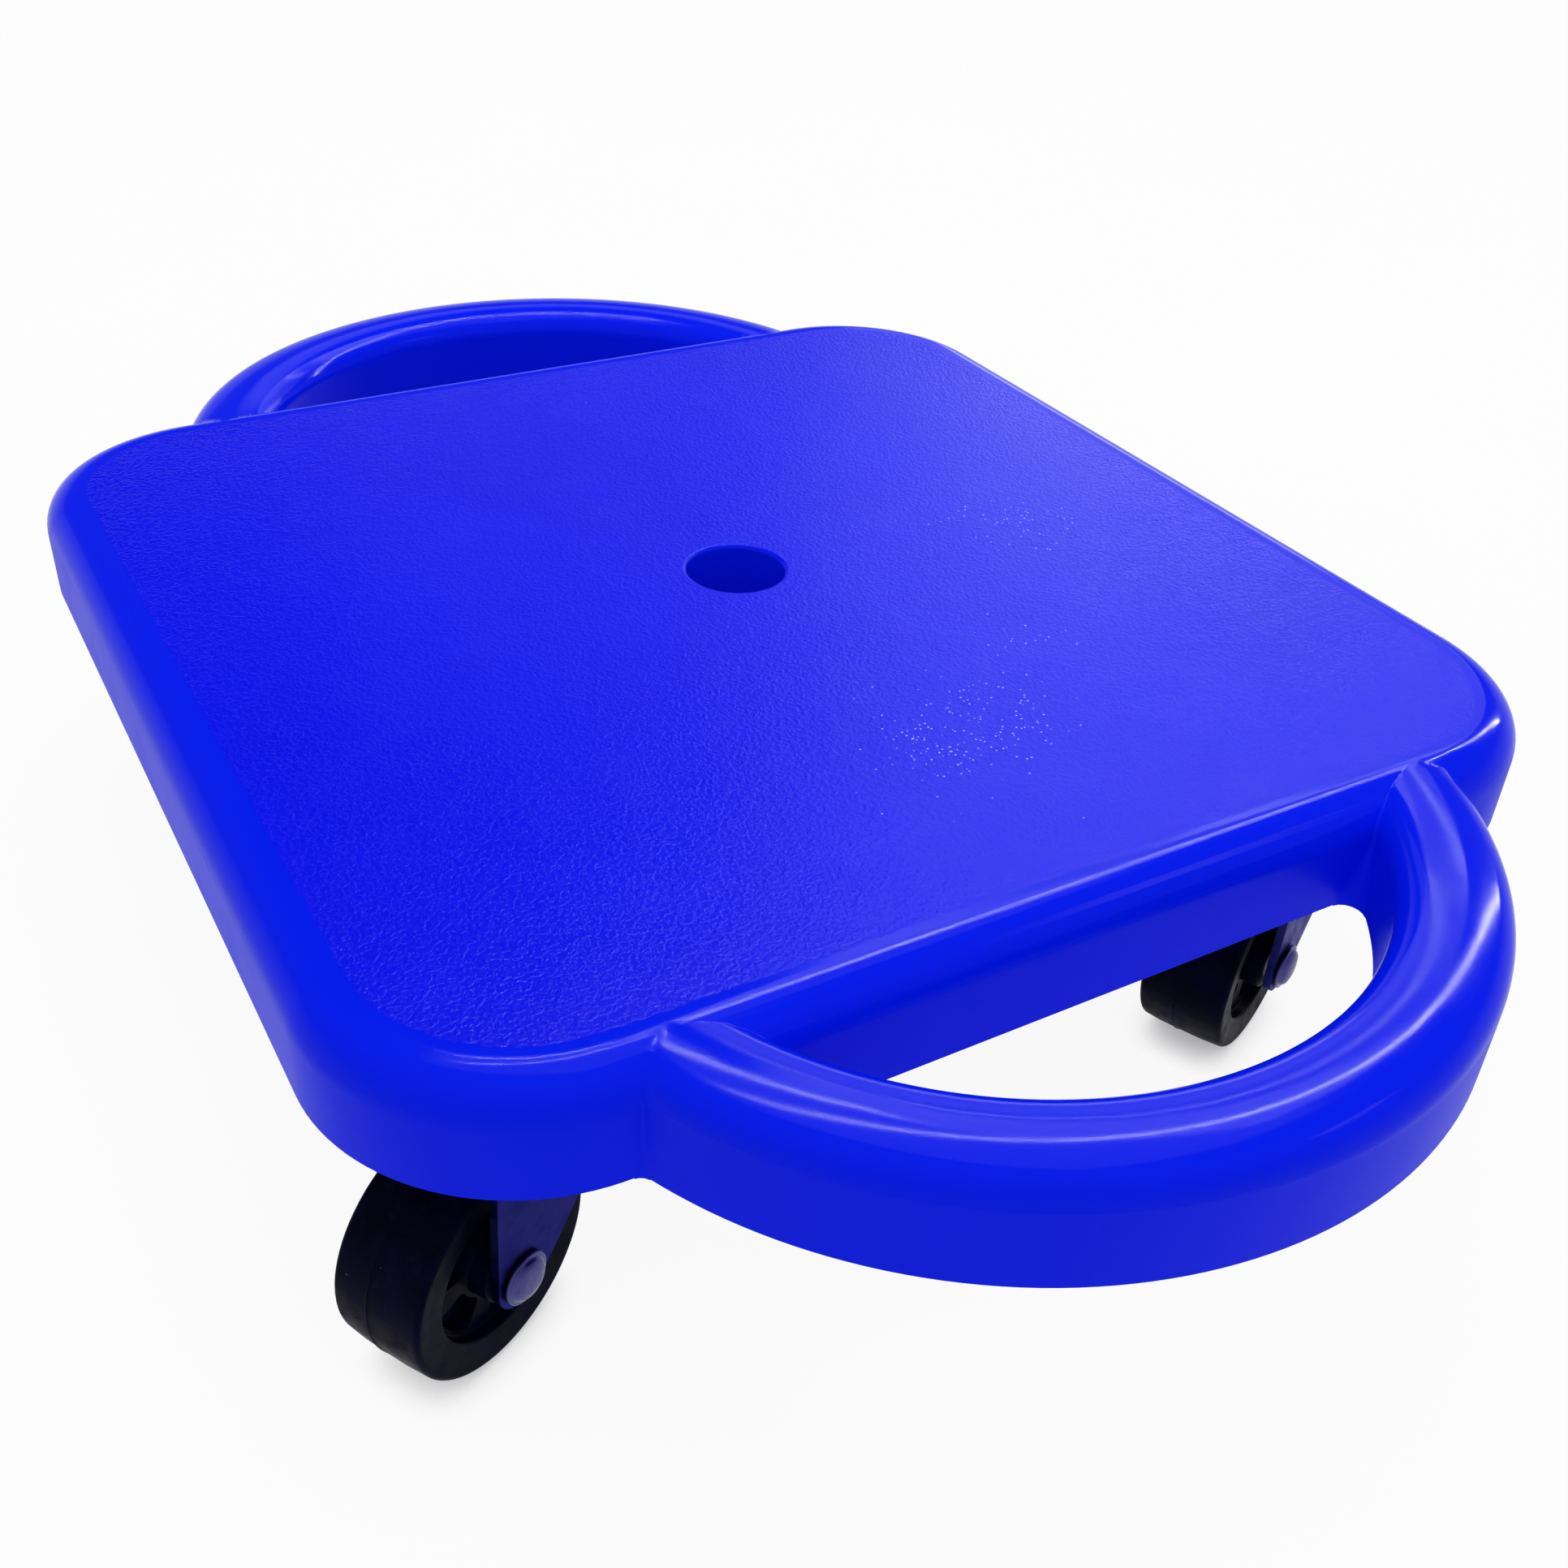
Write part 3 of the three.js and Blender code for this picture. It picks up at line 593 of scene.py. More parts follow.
def moulded_deck():
    board = deck_body()
    mirror = Matrix.Scale(-1, 4, (1, 0, 0))
    front = handle()
    join(board, copied(front, mirror))
    join(board, front)
    hollow = handle_hollow()
    cut(board, copied(hollow, mirror))
    cut(board, hollow)
    cut(board, deck_inside())
    cut(board, storage_hole())
    for pin in PINS.values():
        for x, y in SCREW_PLACES:
            pilot = cylinder("pilot", PILOT_RADIUS, -OVERRUN, PILOT_DEPTH, 16)
            cut(board, moved(pilot, shift(pin.x + x, pin.y + y)))
    return finished(moved(board, shift(0, 0, DECK_BOTTOM)))


# Caster plate, kingpin, cup, balls and screws, drawn with z = 0 at the deck's lower face

def slot_plan(x, y, grow):
    radius = SLOT_WIDTH / 2 + grow
    straight = (SLOT_LENGTH - SLOT_WIDTH) / 2
    right = arc(x + straight, y, radius, -pi / 2, pi / 2, 12)
    return right + arc(x - straight, y, radius, pi / 2, 3 * pi / 2, 12)


def caster_plate():
    edge = SHEET_EDGE
    levels = [(edge, -PLATE_SHEET), (0, edge - PLATE_SHEET), (0, -edge), (edge, 0)]
    plans = [(rounded_rectangle(PAD_HALF_X, PAD_HALF_Y, PLATE_CORNER, inset, 10), z) for inset, z in levels]
    plate = lofted("caster_plate", [level_ring(plan, z) for plan, z in plans])
    for x, y in SCREW_PLACES:
        slot = [level_ring(slot_plan(x, y, grow), z) for grow, z in
                ((edge * 3, -PLATE_SHEET - edge * 2), (0, edge - PLATE_SHEET), (0, OVERRUN))]
        cut(plate, lofted("slot", slot))
    land = DISH_WELL + DISH_SLOPE + DISH_LAND
    cut(plate, cylinder("window", land - DISH_LAND / 2, -OVERRUN, OVERRUN))
    bore = KINGPIN + RUNNING_GAP
    dish = [(bore, DISH_FLOOR), (DISH_WELL, DISH_FLOOR), (DISH_WELL + DISH_SLOPE, 0), (land, 0),
            (land, -PLATE_SHEET), (land - DISH_LAND / 2, -PLATE_SHEET),
            (DISH_WELL + DISH_SLOPE, DISH_FLOOR - PLATE_SHEET), (bore, DISH_FLOOR - PLATE_SHEET)]
    ring = revolved("dish", softened(dish, 0.5 * MM))
    return finished(join(plate, ring))


def kingpin_rivet():
    tail_top = CUP_UNDER - RUNNING_GAP
    tail_under = tail_top - KINGPIN_TAIL_DEPTH
    head_under = KINGPIN_HEAD_TOP - KINGPIN_HEAD_DEPTH
    chamfer = KINGPIN_HEAD_CHAMFER
    outline = [(r * MM, tail_under + height * MM) for r, height in KINGPIN_DOME]
    outline += [(KINGPIN_TAIL, tail_top), (KINGPIN, tail_top), (KINGPIN, head_under),
                (KINGPIN_HEAD, head_under), (KINGPIN_HEAD, KINGPIN_HEAD_TOP - chamfer),
                (KINGPIN_HEAD - chamfer, KINGPIN_HEAD_TOP), (0, KINGPIN_HEAD_TOP)]
    return finished(revolved("kingpin_rivet", softened(outline, 0.4 * MM)))


def race_cup():
    bore = KINGPIN + RUNNING_GAP
    rim = CROWN_UNDER - RIM_GAP
    outline = [(bore, CUP_UNDER), (CUP_OUTER, CUP_UNDER), (CUP_OUTER, rim), (CUP_INNER, rim),
               (CUP_INNER, CUP_FLOOR), (bore, CUP_FLOOR)]
    return finished(revolved("race_cup", softened(outline, 0.6 * MM)))


def ball_race(name, radius, circle, height, count):
    """Loose balls side by side on a circle."""
    rows, columns = 8, 14
    ball = turned(arc(0, 0, radius, pi / 2, -pi / 2, rows), columns)
    skin = list(strips(columns, rows + 1, closed=False))
    verts, faces = [], []
    for n in range(count):
        around = 2 * pi * n / count
        faces += [[len(verts) + i for i in corners] for corners in skin]
        verts += [(circle * cos(around) + x, circle * sin(around) + y, height + z) for x, y, z in ball]
    return finished(mesh_object(name, verts, faces), radians(80))


def plate_screw():
    """Tapping screw: a pan head with a cross recess, and a thread that winds up its shank."""
    foot = -PLATE_SHEET
    rings = []
    for i in range(SCREW_RINGS + 1):
        z = foot + (SCREW_TIP - foot) * i / SCREW_RINGS
        taper = max(min(1.0, (SCREW_TIP - z) / SCREW_POINT), SCREW_TIP_SHARE)
        ring = []
        for k in range(SCREW_STEPS):
            turn = k / SCREW_STEPS
            phase = (z / SCREW_PITCH - turn) % 1.0
            crest = max(0.0, 1 - abs(2 * phase - 1) * THREAD_SLOPE)
            radius = (SCREW_CORE + (SCREW_THREAD - SCREW_CORE) * crest) * taper
            ring.append((radius * cos(2 * pi * turn), radius * sin(2 * pi * turn), z))
        rings.append(ring)
    shank = lofted("shank", rings)
    rim = foot - SCREW_HEAD_RIM
    under = foot - SCREW_HEAD_HEIGHT
    neck = SCREW_CORE * 0.9
    outline = [(SCREW_HEAD * share, under + rise * MM) for share, rise in SCREW_DOME]
    outline += [(SCREW_HEAD, rim), (SCREW_HEAD, foot), (neck, foot), (neck, foot + MM), (0, foot + MM)]
    head = revolved("plate_screw", softened(outline, 0.5 * MM), 48)
    join(head, shank)
    for reach_x, reach_y in ((CROSS_REACH, CROSS_HALF_WIDTH), (CROSS_HALF_WIDTH, CROSS_REACH)):
        plan = [(-1, -1), (1, -1), (1, 1), (-1, 1)]
        wide = [(sx * reach_x, sy * reach_y, under - MM) for sx, sy in plan]
        narrow = [(sx * reach_x * CROSS_TAPER[0], sy * reach_y * CROSS_TAPER[1], under + CROSS_DEPTH)
                  for sx, sy in plan]
        cut(head, lofted("cross", [wide, narrow]))
    return finished(head)


# Fork, drawn trailing along -Y from its kingpin

def fork_channel(front, back):
    """Bent strip across the fork: a top with two legs."""
    foot = AXLE_HEIGHT - LEG_END - OVERRUN
    inner = FORK_BEND - FORK_SHEET
    bend_x, bend_z = LEG_OUTER - FORK_BEND, CROWN_TOP - FORK_BEND
    outline = [(LEG_OUTER, foot), *arc(bend_x, bend_z, FORK_BEND, 0, pi / 2, 8),
               *arc(-bend_x, bend_z, FORK_BEND, pi / 2, pi, 8), (-LEG_OUTER, foot), (-LEG_INNER, foot),
               *arc(-bend_x, bend_z, inner, pi, pi / 2, 8), *arc(bend_x, bend_z, inner, pi / 2, 0, 8),
               (LEG_INNER, foot)]
    return lofted("pressed_fork", [[(x, y, z) for x, z in outline] for y in (front, -back)])


def fork_side(front):
    """Side outline of the fork. Its trailing edge leans in, and the other sweeps up to the crown's front."""
    foot = arc(CASTER_LEAD, AXLE_HEIGHT, LEG_END, LEG_LEAN, -pi / 2 - LEG_SLOPE, 24)
    behind, ahead = foot[0], foot[-1]
    top = (behind[0] - (CROWN_TOP - behind[1]) * sin(LEG_LEAN) / cos(LEG_LEAN), CROWN_TOP)
    run = (ahead[0] + front) * LEG_SWEEP_SHARE
    bend = Vector((ahead[0] - run, ahead[1] + run * sin(LEG_SLOPE) / cos(LEG_SLOPE)))
    sweep = curved(Vector(ahead), bend, Vector((-front, CROWN_UNDER)), 20)
    outline = [top, *foot, *sweep[1:], (-front, CROWN_TOP)]
    half = LEG_OUTER + OVERRUN
    return lofted("side", [[(x, -behind_pin, z) for behind_pin, z in outline] for x in (-half, half)])


def fork_crown():
    """Round crown with a turned-up rim that shields the upper balls."""
    rim = -PLATE_SHEET - RIM_GAP
    wide, tight = CROWN_CORNER, CROWN_INNER_CORNER
    outline = [(FORK_HOLE, CROWN_UNDER), *arc(CROWN_OUTER - wide, CROWN_UNDER + wide, wide, -pi / 2, 0, 8),
               (CROWN_OUTER, rim), (CROWN_INNER, rim),
               *arc(CROWN_INNER - tight, CROWN_TOP + tight, tight, 0, -pi / 2, 4), (FORK_HOLE, CROWN_TOP)]
    return revolved("crown", outline, FINE_LATHE_STEPS)


def along_axle(obj):
    return moved(obj, Matrix.Rotation(pi / 2, 4, "Y"))


def pressed_fork():
    front = sqrt(CROWN_OUTER ** 2 - LEG_OUTER ** 2)
    fork = combine(fork_channel(front, CASTER_LEAD + LEG_END + OVERRUN), fork_side(front), "INTERSECT")
    join(fork, fork_crown())
    cut(fork, cylinder("kingpin_hole", FORK_HOLE, CROWN_UNDER - OVERRUN, OVERRUN, 48))
    axle = cylinder("axle_hole", BUSH_INNER, -LEG_OUTER - OVERRUN, LEG_OUTER + OVERRUN, 48)
    cut(fork, moved(along_axle(axle), shift(0, -CASTER_LEAD, AXLE_HEIGHT)))
    return finished(bevelled(fork, SHEET_EDGE))


# Wheel and axle, drawn about the axle, which lies along X with the rivet's big head at +X

def wheel_angles():
    """Turning angles that lie close together at the walls of the pockets."""
    wall = [radians(d) for d in (-5, -4, -3.2, -2.4, -1.6, -0.8, 0, 0.8, 1.6, 2.4, 3.2, 4, 5)]
    offsets = [-POCKET_HALF + d for d in wall]
    offsets += [POCKET_HALF * share for share in (-0.6, -0.4, -0.2, 0, 0.2, 0.4, 0.6)]
    offsets += [POCKET_HALF + d for d in wall]
    spoke = pi / POCKETS
    offsets += [spoke + side * 0.25 * (spoke - POCKET_HALF) for side in (-1, 1)]
    return [2 * pi * n / POCKETS + offset for n in range(POCKETS) for offset in offsets]


def pocket_share(r, angle):
    """How much of a pocket's depth a point of the wheel has: 1 on its floor and 0 outside it."""
    pitch = 2 * pi / POCKETS
    offset = abs((angle + pitch / 2) % pitch - pitch / 2)
    across = r * (offset - POCKET_HALF) + POCKET_CORNER
    half_reach = (POCKET_OUTER - POCKET_INNER) / 2
    along = abs(r - (POCKET_OUTER + POCKET_INNER) / 2) - half_reach + POCKET_CORNER
    outside = hypot(max(across, 0), max(along, 0)) + min(max(across, along), 0) - POCKET_CORNER
    return eased(-outside / POCKET_DRAFT)


def web_radii():
    low, high = HUB_RADIUS + RIM_ROUND, RIM_INNER - RIM_ROUND
    dense = [k * 0.2 * MM for k in range(8)]
    radii = [low] + [POCKET_INNER + d for d in dense]
    radii += [POCKET_INNER + POCKET_CORNER + k * 0.9 * MM for k in range(1, 5)]
    radii += [POCKET_OUTER - d for d in reversed(dense)] + [high]
    return radii


def wheel_side():
    """Half of the wheel's section from its bore out to its tread, as (radius, across)."""
    rim_face = TREAD_HALF - RIM_DISH
    r = RIM_ROUND
    points = [(WHEEL_BORE, HUB_HALF - r / 2), (WHEEL_BORE + r / 2, HUB_HALF)]
    points += arc(HUB_RADIUS - r, HUB_HALF - r, r, pi / 2, 0, 4)
    points += arc(HUB_RADIUS + r, WEB_HALF + r, r, pi, 3 * pi / 2, 4)[:-1]
    points += [(a, WEB_HALF) for a in web_radii()]
    points += arc(RIM_INNER - r, WEB_HALF + r, r, -pi / 2, 0, 4)[1:]
    points += arc(RIM_INNER + r, rim_face - r, r, pi, pi / 2, 4)
    points += [(TREAD_SHOULDER - 2 * TREAD_ROUND, TREAD_HALF - RIM_DISH / 4)]
    return points + arc(TREAD_SHOULDER - TREAD_ROUND, TREAD_HALF - TREAD_ROUND, TREAD_ROUND, pi / 2, 0, 8)


def tread_crown():
    """The tread between its two shoulders, with the raised line where the mould parts."""
    base = WHEEL_RADIUS - PARTING_RIDGE
    near, far = PARTING_OFFSET - PARTING_HALF, PARTING_OFFSET + PARTING_HALF
    return [(base - TREAD_FALL, FALL_ENDS[0]), (base, far + PARTING_HALF), (WHEEL_RADIUS, far),
            (WHEEL_RADIUS, near), (base, near - PARTING_HALF), (base - TREAD_FALL, FALL_ENDS[1])]


def moulded_wheel():
    side = wheel_side()
    section = side + tread_crown() + [(r, -across) for r, across in reversed(side)]
    angles = wheel_angles()
    verts = []
    for angle in angles:
        for r, across in section:
            depth = POCKET_DEPTH * pocket_share(r, angle)
            x = across - depth if across > 0 else across + depth
            verts.append((x, r * cos(angle), r * sin(angle)))
    faces = list(strips(len(angles), len(section)))
    return finished(mesh_object("moulded_wheel", verts, faces), radians(40))


def riveted_axle():
    edge = RIVET_SEAT + RIVET_RIM
    outline = [(r * MM, depth * MM - RIVET_TAIL_END) for r, depth in RIVET_CUP]
    outline += [(RIVET_TAIL, -RIVET_SEAT), (AXLE, -RIVET_SEAT), (AXLE, RIVET_SEAT), (RIVET_HEAD, RIVET_SEAT),
                (RIVET_HEAD, edge), (RIVET_HEAD - RIVET_RIM, edge)]
    outline += [(r * MM, RIVET_HEAD_END - depth * MM) for r, depth in RIVET_DOME]
    return finished(along_axle(revolved("riveted_axle", softened(outline, 0.35 * MM))), radians(40))


def axle_tube():
    outline = [(BUSH_INNER, -BUSH_HALF), (BUSH_OUTER, -BUSH_HALF),
               (BUSH_OUTER, BUSH_HALF), (BUSH_INNER, BUSH_HALF)]
    return finished(along_axle(revolved("axle_tube", softened(outline, 0.25 * MM))))


# Materials

class Nodes:
    """Adds nodes to a material or the world. place is the point that textures are drawn at."""

    def __init__(self, tree):
        self.tree = tree

    def node(self, kind, inputs=None, **settings):
        node = self.tree.nodes.new("ShaderNode" + kind)
        for key, value in settings.items():
            setattr(node, key, value)
        for key, value in (inputs or {}).items():
            self.feed(node.inputs[key], value)
        return node

    def feed(self, socket, value):
        if isinstance(value, bpy.types.NodeSocket):
            self.tree.links.new(value, socket)
        else:
            socket.default_value = value

    def math(self, operation, *values):
        return self.node("Math", dict(enumerate(values)), operation=operation).outputs[0]

    def plus(self, first, second):
        return self.math("ADD", first, second)

    def times(self, first, second):
        return self.math("MULTIPLY", first, second)

    def vector(self, operation, *values):
        """A vector, or a number from the operations that give one."""
        output = "Value" if operation in ("LENGTH", "DISTANCE", "DOT_PRODUCT") else "Vector"
        return self.node("VectorMath", dict(enumerate(values)), operation=operation).outputs[output]

    def height(self):
        return self.node("SeparateXYZ", {0: self.place}).outputs["Z"]

    def grey(self, level):
        return self.node("CombineColor", {0: level, 1: level, 2: level}).outputs[0]

    def noise(self, size, detail=2.0, vector=None, roughness=0.5):
        """Noise whose patches are about the given size across."""
        inputs = {"Vector": vector or self.place, "Scale": 1 / size, "Detail": detail, "Roughness": roughness}
        return self.node("TexNoise", inputs).outputs[0]

    def ramp(self, value, low, high, start=0.0, end=1.0):
        """start where the value is low, end where it is high, and a smooth change between."""
        inputs = {"Value": value, "From Min": low, "From Max": high, "To Min": start, "To Max": end}
        return self.node("MapRange", inputs, interpolation_type="SMOOTHSTEP").outputs[0]

    def mix(self, share, first, second):
        """Colours mixed through the sockets that the node has for them."""
        return self.node("Mix", {0: share, 6: first, 7: second}, data_type="RGBA").outputs[2]

    def bump(self, height, distance, **under):
        inputs = {"Height": height, "Distance": distance, "Strength": 1.0, **under}
        return self.node("Bump", inputs).outputs[0]


class Surface(Nodes):
    """A material. Its place is where each point was drawn, or where it is for a piece of the stage."""

    def __init__(self, name, staged=False):
        self.material = bpy.data.materials.new(name)
        self.material.use_nodes = True
        super().__init__(self.material.node_tree)
        self.tree.nodes.clear()
        if staged:
            self.place = self.node("TexCoord").outputs["Object"]
        else:
            self.place = self.node("Attribute", attribute_name="drawn_at").outputs["Vector"]

    def shown(self, shader):
        self.node("OutputMaterial", {"Surface": shader.outputs[0]})
        return self.material

    def finish(self, colour, gloss, normal, **inputs):
        """Ends in one Principled shader. IOR and the like are given by the names of its sockets."""
        names = {key.replace("_", " "): value for key, value in inputs.items()}
        names.update({"Base Color": colour, "Roughness": gloss, "Normal": normal})
        return self.shown(self.node("BsdfPrincipled", names))


BLUE = (0.0010, 0.0065, 0.92, 1)
BLUE_DEEP = (0.0006, 0.0045, 0.85, 1)
BLUE_PALE = (0.006, 0.012, 0.93, 1)
# Blue off the flat top, with more green: painted shade, the tint that the shaded sides take
BLUE_SHADE_TINT = (0.0010, 0.0130, 0.92, 1)
# Colour of the painted glints, pale highlight dots on the top
PAINTED_GLINT = (0.50, 0.52, 0.95, 1)
SPECK = (0.001, 0.001, 0.12, 1)
BLACK = (0.0020, 0.0015, 0.0160, 1)
BLACK_DEEP = (0.0008, 0.0006, 0.0070, 1)
SCUFF = (0.008, 0.006, 0.022, 1)
CHIP = (0.16, 0.14, 0.30, 1)
WHITE = (1, 1, 1, 1)
# Darkest and palest tint, least and most roughness, depth of the drawn lines, and tint of the grazing gloss
METALS = {
    "zinc_plate": ((0.022, 0.024, 0.12, 1), (0.075, 0.070, 0.24, 1), 0.28, 0.44, 0.010 * MM, WHITE),
    # The fork's zinc is a darker copy of the plating on the plate and rivets: painted shade, for legs that
    # look darker
    "fork_zinc": ((0.004, 0.006, 0.070, 1), (0.020, 0.020, 0.15, 1), 0.30, 0.46, 0.012 * MM,
                  (0.55, 0.55, 0.85, 1)),
    "screw_steel": ((0.20, 0.20, 0.30, 1), (0.34, 0.34, 0.44, 1), 0.24, 0.36, 0.006 * MM, WHITE),
    "ball_steel": ((0.40, 0.38, 0.36, 1), (0.55, 0.54, 0.52, 1), 0.12, 0.22, 0.002 * MM, WHITE),
    "bush_steel": ((0.30, 0.30, 0.32, 1), (0.44, 0.44, 0.46, 1), 0.28, 0.40, 0.006 * MM, WHITE),
}
# Middle and radius in millimetres of each patch of painted glints, pale dots painted into the top's colour as
# highlights of its pebbles, and the share of its cells that glint
PAINTED_GLINT_PATCHES = ((91, 1, 17, 0.30), (86, 24, 19, 0.14), (62, 45, 20, 0.05), (9, 79, 25, 0.10), (88, 6, 42, 0.03))


def flat_top(s, flat):
    """1 on the flat of the deck's top, which is drawn in by the round over, and 0 elsewhere."""
    radius = CORNER_RADIUS - EDGE_ROUND
    half = (HALF_LENGTH - EDGE_ROUND - radius, HALF_WIDTH - EDGE_ROUND - radius, 0)
    beyond = s.vector("SUBTRACT", s.vector("ABSOLUTE", flat), half)
    inset = s.math("SUBTRACT", s.vector("LENGTH", s.vector("MAXIMUM", beyond, (0, 0, 0))), radius)
    high = s.math("GREATER_THAN", s.height(), DECK_TOP - 0.4 * MM)
    return s.times(s.ramp(inset, -2.6 * MM, -1.0 * MM, 1.0, 0.0), high)


def cells(s, size):
    """A random number for each small cell of the surface, and the distance to its middle."""
    node = s.node("TexVoronoi", {"Vector": s.place, "Scale": 1 / size})
    chance = s.node("SeparateColor", {0: node.outputs["Color"]}).outputs[0]
    return chance, node.outputs["Distance"]


def round_patch(s, x, y, radius):
    """1 at a place on the deck, fading to 0 at the radius."""
    return s.ramp(s.vector("DISTANCE", s.place, (x, y, DECK_TOP)), 0.15 * radius, radius, 1.0, 0.0)


def deck_plastic():
    s = Surface("deck_plastic")
    flat = s.vector("MULTIPLY", s.place, (1, 1, 0))
    top = flat_top(s, flat)
    # Flow streaks that fan out from the storage hole
    away = s.vector("LENGTH", flat)
    fan = s.noise(0.22, 1.5, s.vector("NORMALIZE", flat))
    reach = s.times(s.ramp(away, HOLE_RADIUS, 35 * MM), s.ramp(away, 60 * MM, 140 * MM, 1.0, 0.0))
    streak = s.times(s.math("SUBTRACT", fan, 0.5), s.times(reach, top))
    # Colour: broad cloudy change, streaks, painted glints and specks
    cloud = s.noise(90 * MM, 3.0)
    tone = s.plus(s.ramp(cloud, 0.3, 0.7, 0.0, 0.6), s.times(streak, 0.9))
    colour = s.mix(s.math("MINIMUM", s.math("MAXIMUM", tone, 0.0), 1.0), BLUE, BLUE_DEEP)
    pale = s.times(s.ramp(s.noise(30 * MM, 4.0), 0.52, 0.75, 0.0, 0.35), top)
    # Off the flat top the blue takes more green, a painted shade tint
    colour = s.mix(top, BLUE_SHADE_TINT, s.mix(pale, colour, BLUE_PALE))
    # Painted highlights: pale glints painted into the colour of the top in a few round patches
    chance, middle = cells(s, 0.8 * MM)
    painted_glint_share = 0.0
    for x, y, radius, share in PAINTED_GLINT_PATCHES:
        patch = s.times(round_patch(s, x * MM, y * MM, radius * MM), share)
        painted_glint_share = s.plus(painted_glint_share, patch)
    painted_glint_cells = s.math("GREATER_THAN", chance, s.math("SUBTRACT", 1.0, painted_glint_share))
    painted_glints = s.times(s.times(painted_glint_cells, s.ramp(middle, 0.12, 0.40, 0.9, 0.0)), top)
    colour = s.mix(painted_glints, colour, PAINTED_GLINT)
    odd, spot = cells(s, 11 * MM)
    speck = s.times(s.math("GREATER_THAN", odd, 0.90), s.ramp(spot, 0.02, 0.045, 1.0, 0.0))
    colour = s.mix(s.times(speck, 0.8), colour, SPECK)
    # Gloss: satin on the pebbled top and the upright walls, shiny on the round edges, rubbed in places
    rubbed = s.ramp(s.noise(18 * MM, 4.0), 0.45, 0.7, 0.0, 0.03)
    sides = s.ramp(s.height(), DECK_TOP - 10 * MM, DECK_TOP - 4 * MM, 0.38, 0.11)
    gloss = s.plus(s.ramp(top, 0.0, 1.0, sides, 0.22), rubbed)
    gloss = s.plus(gloss, s.times(streak, 0.06))
    # Relief: pebbles on the top, and a faint waviness of the moulding on the shiny walls
    pebble = s.ramp(s.noise(0.95 * MM, 1.5), 0.38, 0.66)
    coarse = s.noise(2.6 * MM, 2.0)
    relief = s.plus(pebble, s.times(coarse, 0.5))
    grain = s.times(s.math("SUBTRACT", relief, 0.75), top)
    wavy = s.bump(s.noise(9 * MM, 3.0), 0.045 * MM)
    normal = s.bump(grain, 0.062 * MM, Normal=wavy)
    return s.finish(colour, gloss, normal, IOR=1.12)


def wheel_plastic():
    s = Surface("wheel_plastic")
    shade = s.ramp(s.noise(9 * MM, 4.0), 0.35, 0.7)
    colour = s.mix(shade, BLACK_DEEP, BLACK)
    away = s.vector("LENGTH", s.vector("MULTIPLY", s.place, (0, 1, 1)))
    tread = s.ramp(away, WHEEL_RADIUS - 1.2 * MM, WHEEL_RADIUS - 0.4 * MM)
    scuff = s.times(tread, s.ramp(s.noise(3 * MM, 5.0, roughness=0.7), 0.5, 0.72))
    colour = s.mix(s.times(scuff, 0.5), colour, SCUFF)
    chance, middle = cells(s, 2.4 * MM)
    chip = s.times(s.math("GREATER_THAN", chance, 0.965), s.ramp(middle, 0.03, 0.10, 0.8, 0.0))
    colour = s.mix(chip, colour, CHIP)
    gloss = s.ramp(s.noise(5 * MM, 3.0), 0.3, 0.7, 0.34, 0.50)
    gloss = s.plus(gloss, s.times(scuff, 0.2))
    fine = s.bump(s.noise(0.7 * MM, 3.0), 0.02 * MM)
    normal = s.bump(s.noise(4 * MM, 2.0), 0.03 * MM, Normal=fine)
    return s.finish(colour, gloss, normal, IOR=1.08)


def plated_steel(name, dark, light, low, high, scratch, rim):
    """Zinc-plated or bare steel: cloudy tint, and fine drawn lines along one way."""
    s = Surface(name)
    cloud = s.ramp(s.noise(6 * MM, 4.0, roughness=0.6), 0.3, 0.7)
    lines = s.noise(0.5 * MM, 3.0, s.vector("MULTIPLY", s.place, (1, 1, 0.12)))
    tint = s.plus(s.times(cloud, 0.75), s.times(lines, 0.25))
    colour = s.mix(tint, dark, light)
    mean = s.plus(s.times(cloud, 0.5), s.times(lines, 0.5))
    gloss = s.ramp(mean, 0.3, 0.7, low, high)
    return s.finish(colour, gloss, s.bump(lines, scratch), Metallic=1.0, Specular_Tint=rim)


# Assembly

MATERIALS = {"deck_plastic": deck_plastic(), "wheel_plastic": wheel_plastic()}
for metal, look in METALS.items():
    MATERIALS[metal] = plated_steel(metal, *look)


def put(obj, name, body, slot, *nodes, finish=None):
    """Ties a piece to the frame. Its material is the slot's own unless a finish is named."""
    obj.name = name
    obj.data.materials.clear()
    obj.data.materials.append(MATERIALS[finish or slot])
    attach(obj, body)
    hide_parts(*nodes)


def put_four(template, node, body, slot, places, finish=None):
    """Puts a copy of the template at each corner. A gap in the body's name takes the corner's."""
    for corner, place in places.items():
        name, replaced = f"{template.name}_{corner}", f"{node}_{corner}"
        put(copied(template, place), name, body.format(corner), slot, replaced, finish=finish)
    discard(template)


